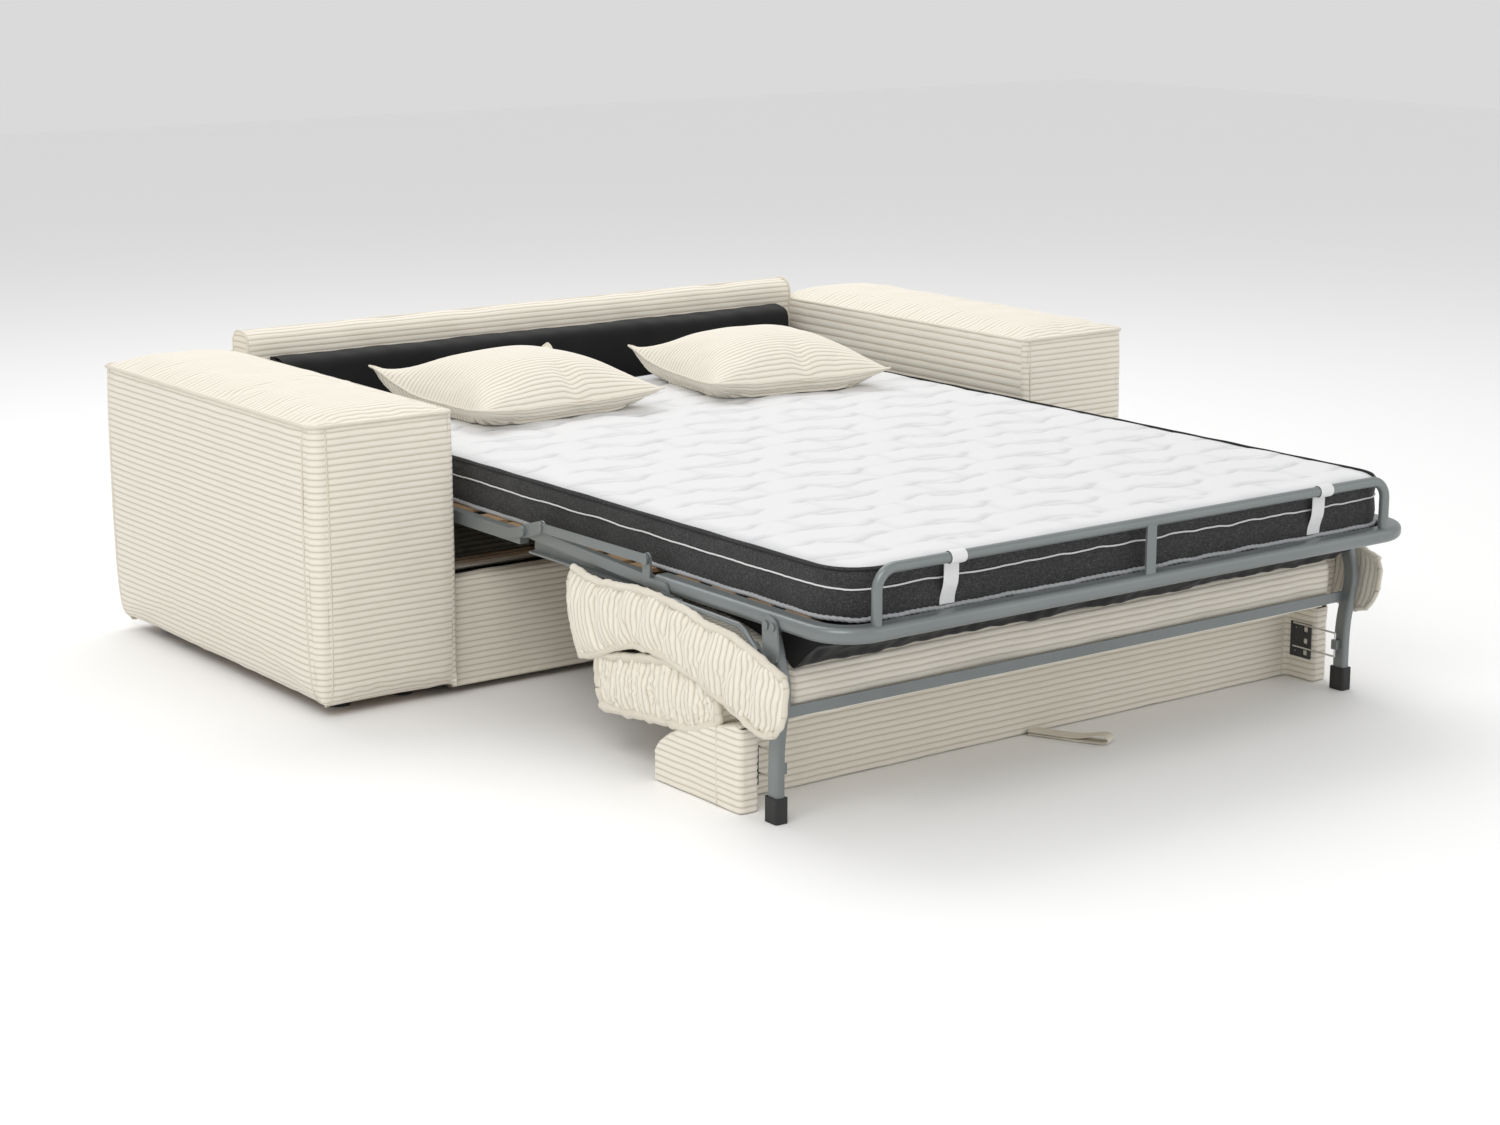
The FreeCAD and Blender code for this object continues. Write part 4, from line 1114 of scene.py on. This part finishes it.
def corner_inset(gap):
    """How far the side edge draws in at a distance from the mattress's head or foot."""
    c = MATT_CORNER
    return np.where(gap < c, c - np.sqrt(np.maximum(c * c - (c - gap) ** 2, 0)), 0)


def edge_cord(pts, out, z, radius, pull, sway, sides=8, dense=2, **more):
    """A cord round the mattress's edge; pull sets it in from the outline."""
    reach = pts[:, 1] - out[:, 1] * pull
    path = np.stack([pts[:, 0] - out[:, 0] * pull, FRONT_Y - reach, np.full(len(pts), float(z))], 1)
    path[:, 2] += wobble(path[None], sway, 150.0, 172)[0]
    path[:, 2] += wobble(path[None], sway * 0.5, 60.0, 173)[0]
    return tube_grid(straight(path, max(12, int(len(path) * dense))), radius, sides, **more)


def mattress_half(name, low, high, nodes):
    """One half of the mattress, between two reaches, standing in for its nodes."""

    def finish(panels, piece, mats, declare=()):
        obj = panels_object(piece, panels, mats, None, declare)
        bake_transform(obj)
        return obj

    # quilted top
    ends = np.concatenate([[0, 3, 8, 14, 21, 30, 42, 56, 72], np.arange(90, 5000, 6.0)])
    reach = np.arange(low, high + 0.1, 6.0)
    reach[-1] = high
    if high > MATT_FOOT - 1:
        reach = np.unique(np.concatenate([reach[reach < high - 90], high - ends[:9]]))
    if low < MATT_HEAD + 1:
        reach = np.unique(np.concatenate([reach[reach > low + 90], low + ends[:9]]))
    gap = np.minimum(MATT_FOOT - reach, reach - MATT_HEAD)
    inset = corner_inset(gap)
    u = np.linspace(-1, 1, 181)
    x = u[None] * (MATT_HALF - inset - 1.5)[:, None]
    r = reach[:, None] * np.ones((1, 181))
    row = r / 98.0
    shift = 0.19 * np.sin(2 * math.pi * x / 270 + 1.7 * np.floor(row))
    shift = shift + 0.05 * np.sin(2 * math.pi * x / 97 + 2.1)
    tide = np.abs(np.sin(math.pi * (row + shift)))
    puff = 1 - np.exp(-tide * 3.8)
    cross = np.abs(np.sin(math.pi * (x / 270 + 0.5 * np.floor(row + shift))))
    puff = puff * (0.55 + 0.45 * (1 - np.exp(-cross * 4.0)))
    edge = np.minimum(MATT_HALF - inset[:, None] - np.abs(x), gap[:, None])
    ease = np.clip(edge / 45, 0, 1)
    ease = ease * ease * (3 - 2 * ease)
    drop = 11.0 * np.exp(-np.maximum(edge, 0) / 9.0)
    z = MATT_TOP - 8.5 + 8.5 * puff * ease + 3.0 * (1 - ease) - drop * 0.75
    top = np.stack([x, FRONT_Y - r, z], 2)
    top[:, :, 2] += wobble(top, 1.2, 260.0, 161)
    top = orient(top, (0, 0, 1), None)
    # the crest sets the quilt's painted shade: low in the valleys and at the rim, high on the puffs
    crest = np.clip(puff * ease + 0.2, 0, 1)
    if top[0, 0, 1] != FRONT_Y - reach[0]:
        crest = crest[::-1]
    finish([(top, crest)], name, [QUILT], nodes)

    # border, black tape, white piping and silver braid
    line = mattress_outline()
    keep = (line[:, 1] >= low - 0.01) & (line[:, 1] <= high + 0.01)
    runs = np.split(np.arange(len(line)), np.where(~keep)[0])
    runs = [run[keep[run]] for run in runs]
    runs = [run for run in runs if len(run) > 3]
    if len(runs) == 2 and keep[0] and keep[-1]:
        runs = [np.concatenate([runs[1], runs[0][1:]])]
    profile = [
        (382, 10), (384, 4), (388, 1), (396, -1.5), (410, -3), (426, -2), (436, -0.5), (441, 1.5),
        (446, -0.5), (456, -2), (468, -2.2), (476, 0), (480, 2.5),
    ]
    borders, whites, braids, tapes = [], [], [], []
    for run in runs:
        pts = line[run]
        for spot in (0, -1):
            if abs(abs(pts[spot, 0]) - MATT_HALF) < 1:
                pts[spot, 1] = low if abs(pts[spot, 1] - low) < abs(pts[spot, 1] - high) else high
        t = np.gradient(pts, axis=0)
        t /= np.linalg.norm(t, axis=1, keepdims=True)
        out = np.stack([t[:, 1], -t[:, 0]], 1)
        rows = []
        for z, pull in profile:
            px, pr = pts[:, 0] - out[:, 0] * pull, pts[:, 1] - out[:, 1] * pull
            rows.append(np.stack([px, FRONT_Y - pr, np.full(len(px), float(z))], 1))
        grid = np.stack(rows, 1)
        grid = orient(grid, None, np.array([[0, FRONT_Y - 225, 430]]))
        grid[:, :, 0] += wobble(grid, 1.4, 170.0, 171) * np.sign(grid[:, :, 0])
        borders.append((grid, np.ones(grid.shape[:2])))
        whites.append(edge_cord(pts, out, 441, 1.7, -0.6, 1.3))
        tapes.append(edge_cord(pts, out, 474, 1.8, -0.9, 0.4))
        braids.append(edge_cord(pts, out, 386, 4.3, -0.4, 1.0, 12, 7, strands=3, twist=0.16))
    edge, floor_z = 9, 382.6
    floor_low = low + edge if low < MATT_HEAD + 1 else low
    floor_high = high - edge if high > MATT_FOOT - 1 else high
    steps = [(floor_low, floor_z), (floor_high, floor_z)]
    floor = sweep(steps, -MATT_HALF + edge, MATT_HALF - edge, 40, 30)
    rr = FRONT_Y - floor[:, :, 1]
    near = np.minimum(MATT_FOOT - rr, rr - MATT_HEAD)
    floor[:, :, 0] *= 1 - corner_inset(near) / MATT_HALF
    borders.append((orient(floor, (0, 0, -1), None), np.ones(floor.shape[:2])))
    finish(borders, name + "_border", [BORDER])
    finish(whites, name + "_piping", [PIPING])
    finish(tapes, name + "_tape", [BLACK])
    finish(braids, name + "_braid", [BRAID])


mattress_half(
    "mattress_head",
    MATT_HEAD,
    MATT_SPLIT,
    ["mattress_head", "mattress_rear_fold"],
)
mattress_half(
    "mattress_foot",
    MATT_SPLIT,
    MATT_FOOT,
    ["mattress_middle", "mattress_front_fold", "mattress_foot"],
)


# Pillows
def pillow(name, cx, cr, wide, deep, turn, lift, seed):
    """A knife-edged pillow: seam at half height, tips curled up, belly flat on the mattress."""
    nu, nv = 41, 37
    u = np.linspace(-1, 1, nu)[:, None] * np.ones((1, nv))
    v = np.linspace(-1, 1, nv)[None] * np.ones((nu, 1))
    x = u * wide / 2 * (1 - 0.085 * np.cos(v * math.pi / 2) ** 1.3)
    y = v * deep / 2 * (1 - 0.10 * np.cos(u * math.pi / 2) ** 1.3)
    full = (1 - np.abs(u) ** 2.6) ** 0.70 * (1 - np.abs(v) ** 2.6) ** 0.70
    seam = 30 + 9 * np.abs(u * v) ** 3 + lift * np.clip(v, 0, 1) ** 2 * np.abs(u) ** 2
    dent = np.exp(-(((u - 0.12) / 0.10) ** 2) - ((v + 0.80) / 0.22) ** 2)
    dent2 = np.exp(-(((u + 0.55) / 0.16) ** 2) - ((v + 0.75) / 0.15) ** 2)
    top = np.stack([x, y, seam + (120 - seam) * full - 12 * dent - 5 * dent2], 2)
    low = np.stack([x, y, np.maximum(seam * (1 - 1.9 * full**0.8), 0.4)], 2)
    top = orient(top, (0, 0, 1), None)
    low = orient(low, (0, 0, -1), None)
    rest = low[:, :, 2] < 1.0
    top, low = settle([top, low], [np.zeros((nu, nv), bool), rest], 4.0, 0.035, 10.0, 16, seed)
    low[:, :, 2] = np.maximum(low[:, :, 2], 0.3)
    a = math.radians(turn)
    panels = []
    for g, face in ((top, (0, 0, 1)), (low, (0, 0, -1))):
        gx, gy = g[:, :, 0].copy(), g[:, :, 1].copy()
        g[:, :, 0] = cx + gx * math.cos(a) - gy * math.sin(a)
        g[:, :, 1] = FRONT_Y - cr + gx * math.sin(a) + gy * math.cos(a)
        g[:, :, 2] += MATT_TOP
        panels.append(ribbed(g, 1, face, 12.0, 1.5, 90, seed, 0.8))
        if face[2] > 0:
            rim = np.concatenate([g[:, 0], g[-1, 1:], g[::-1, -1][1:], g[0, ::-1][1:]])
    panels.append((*tube_grid(straight(rim, 500), 2.6, 6, seed=seed), 1))
    return cover(name, panels, "sofa_body")


pillow("pillow_left", -301, -505, 490, 460, 2.4, 45, 181)
pillow("pillow_right", 329, -445, 470, 440, -7.7, 30, 191)
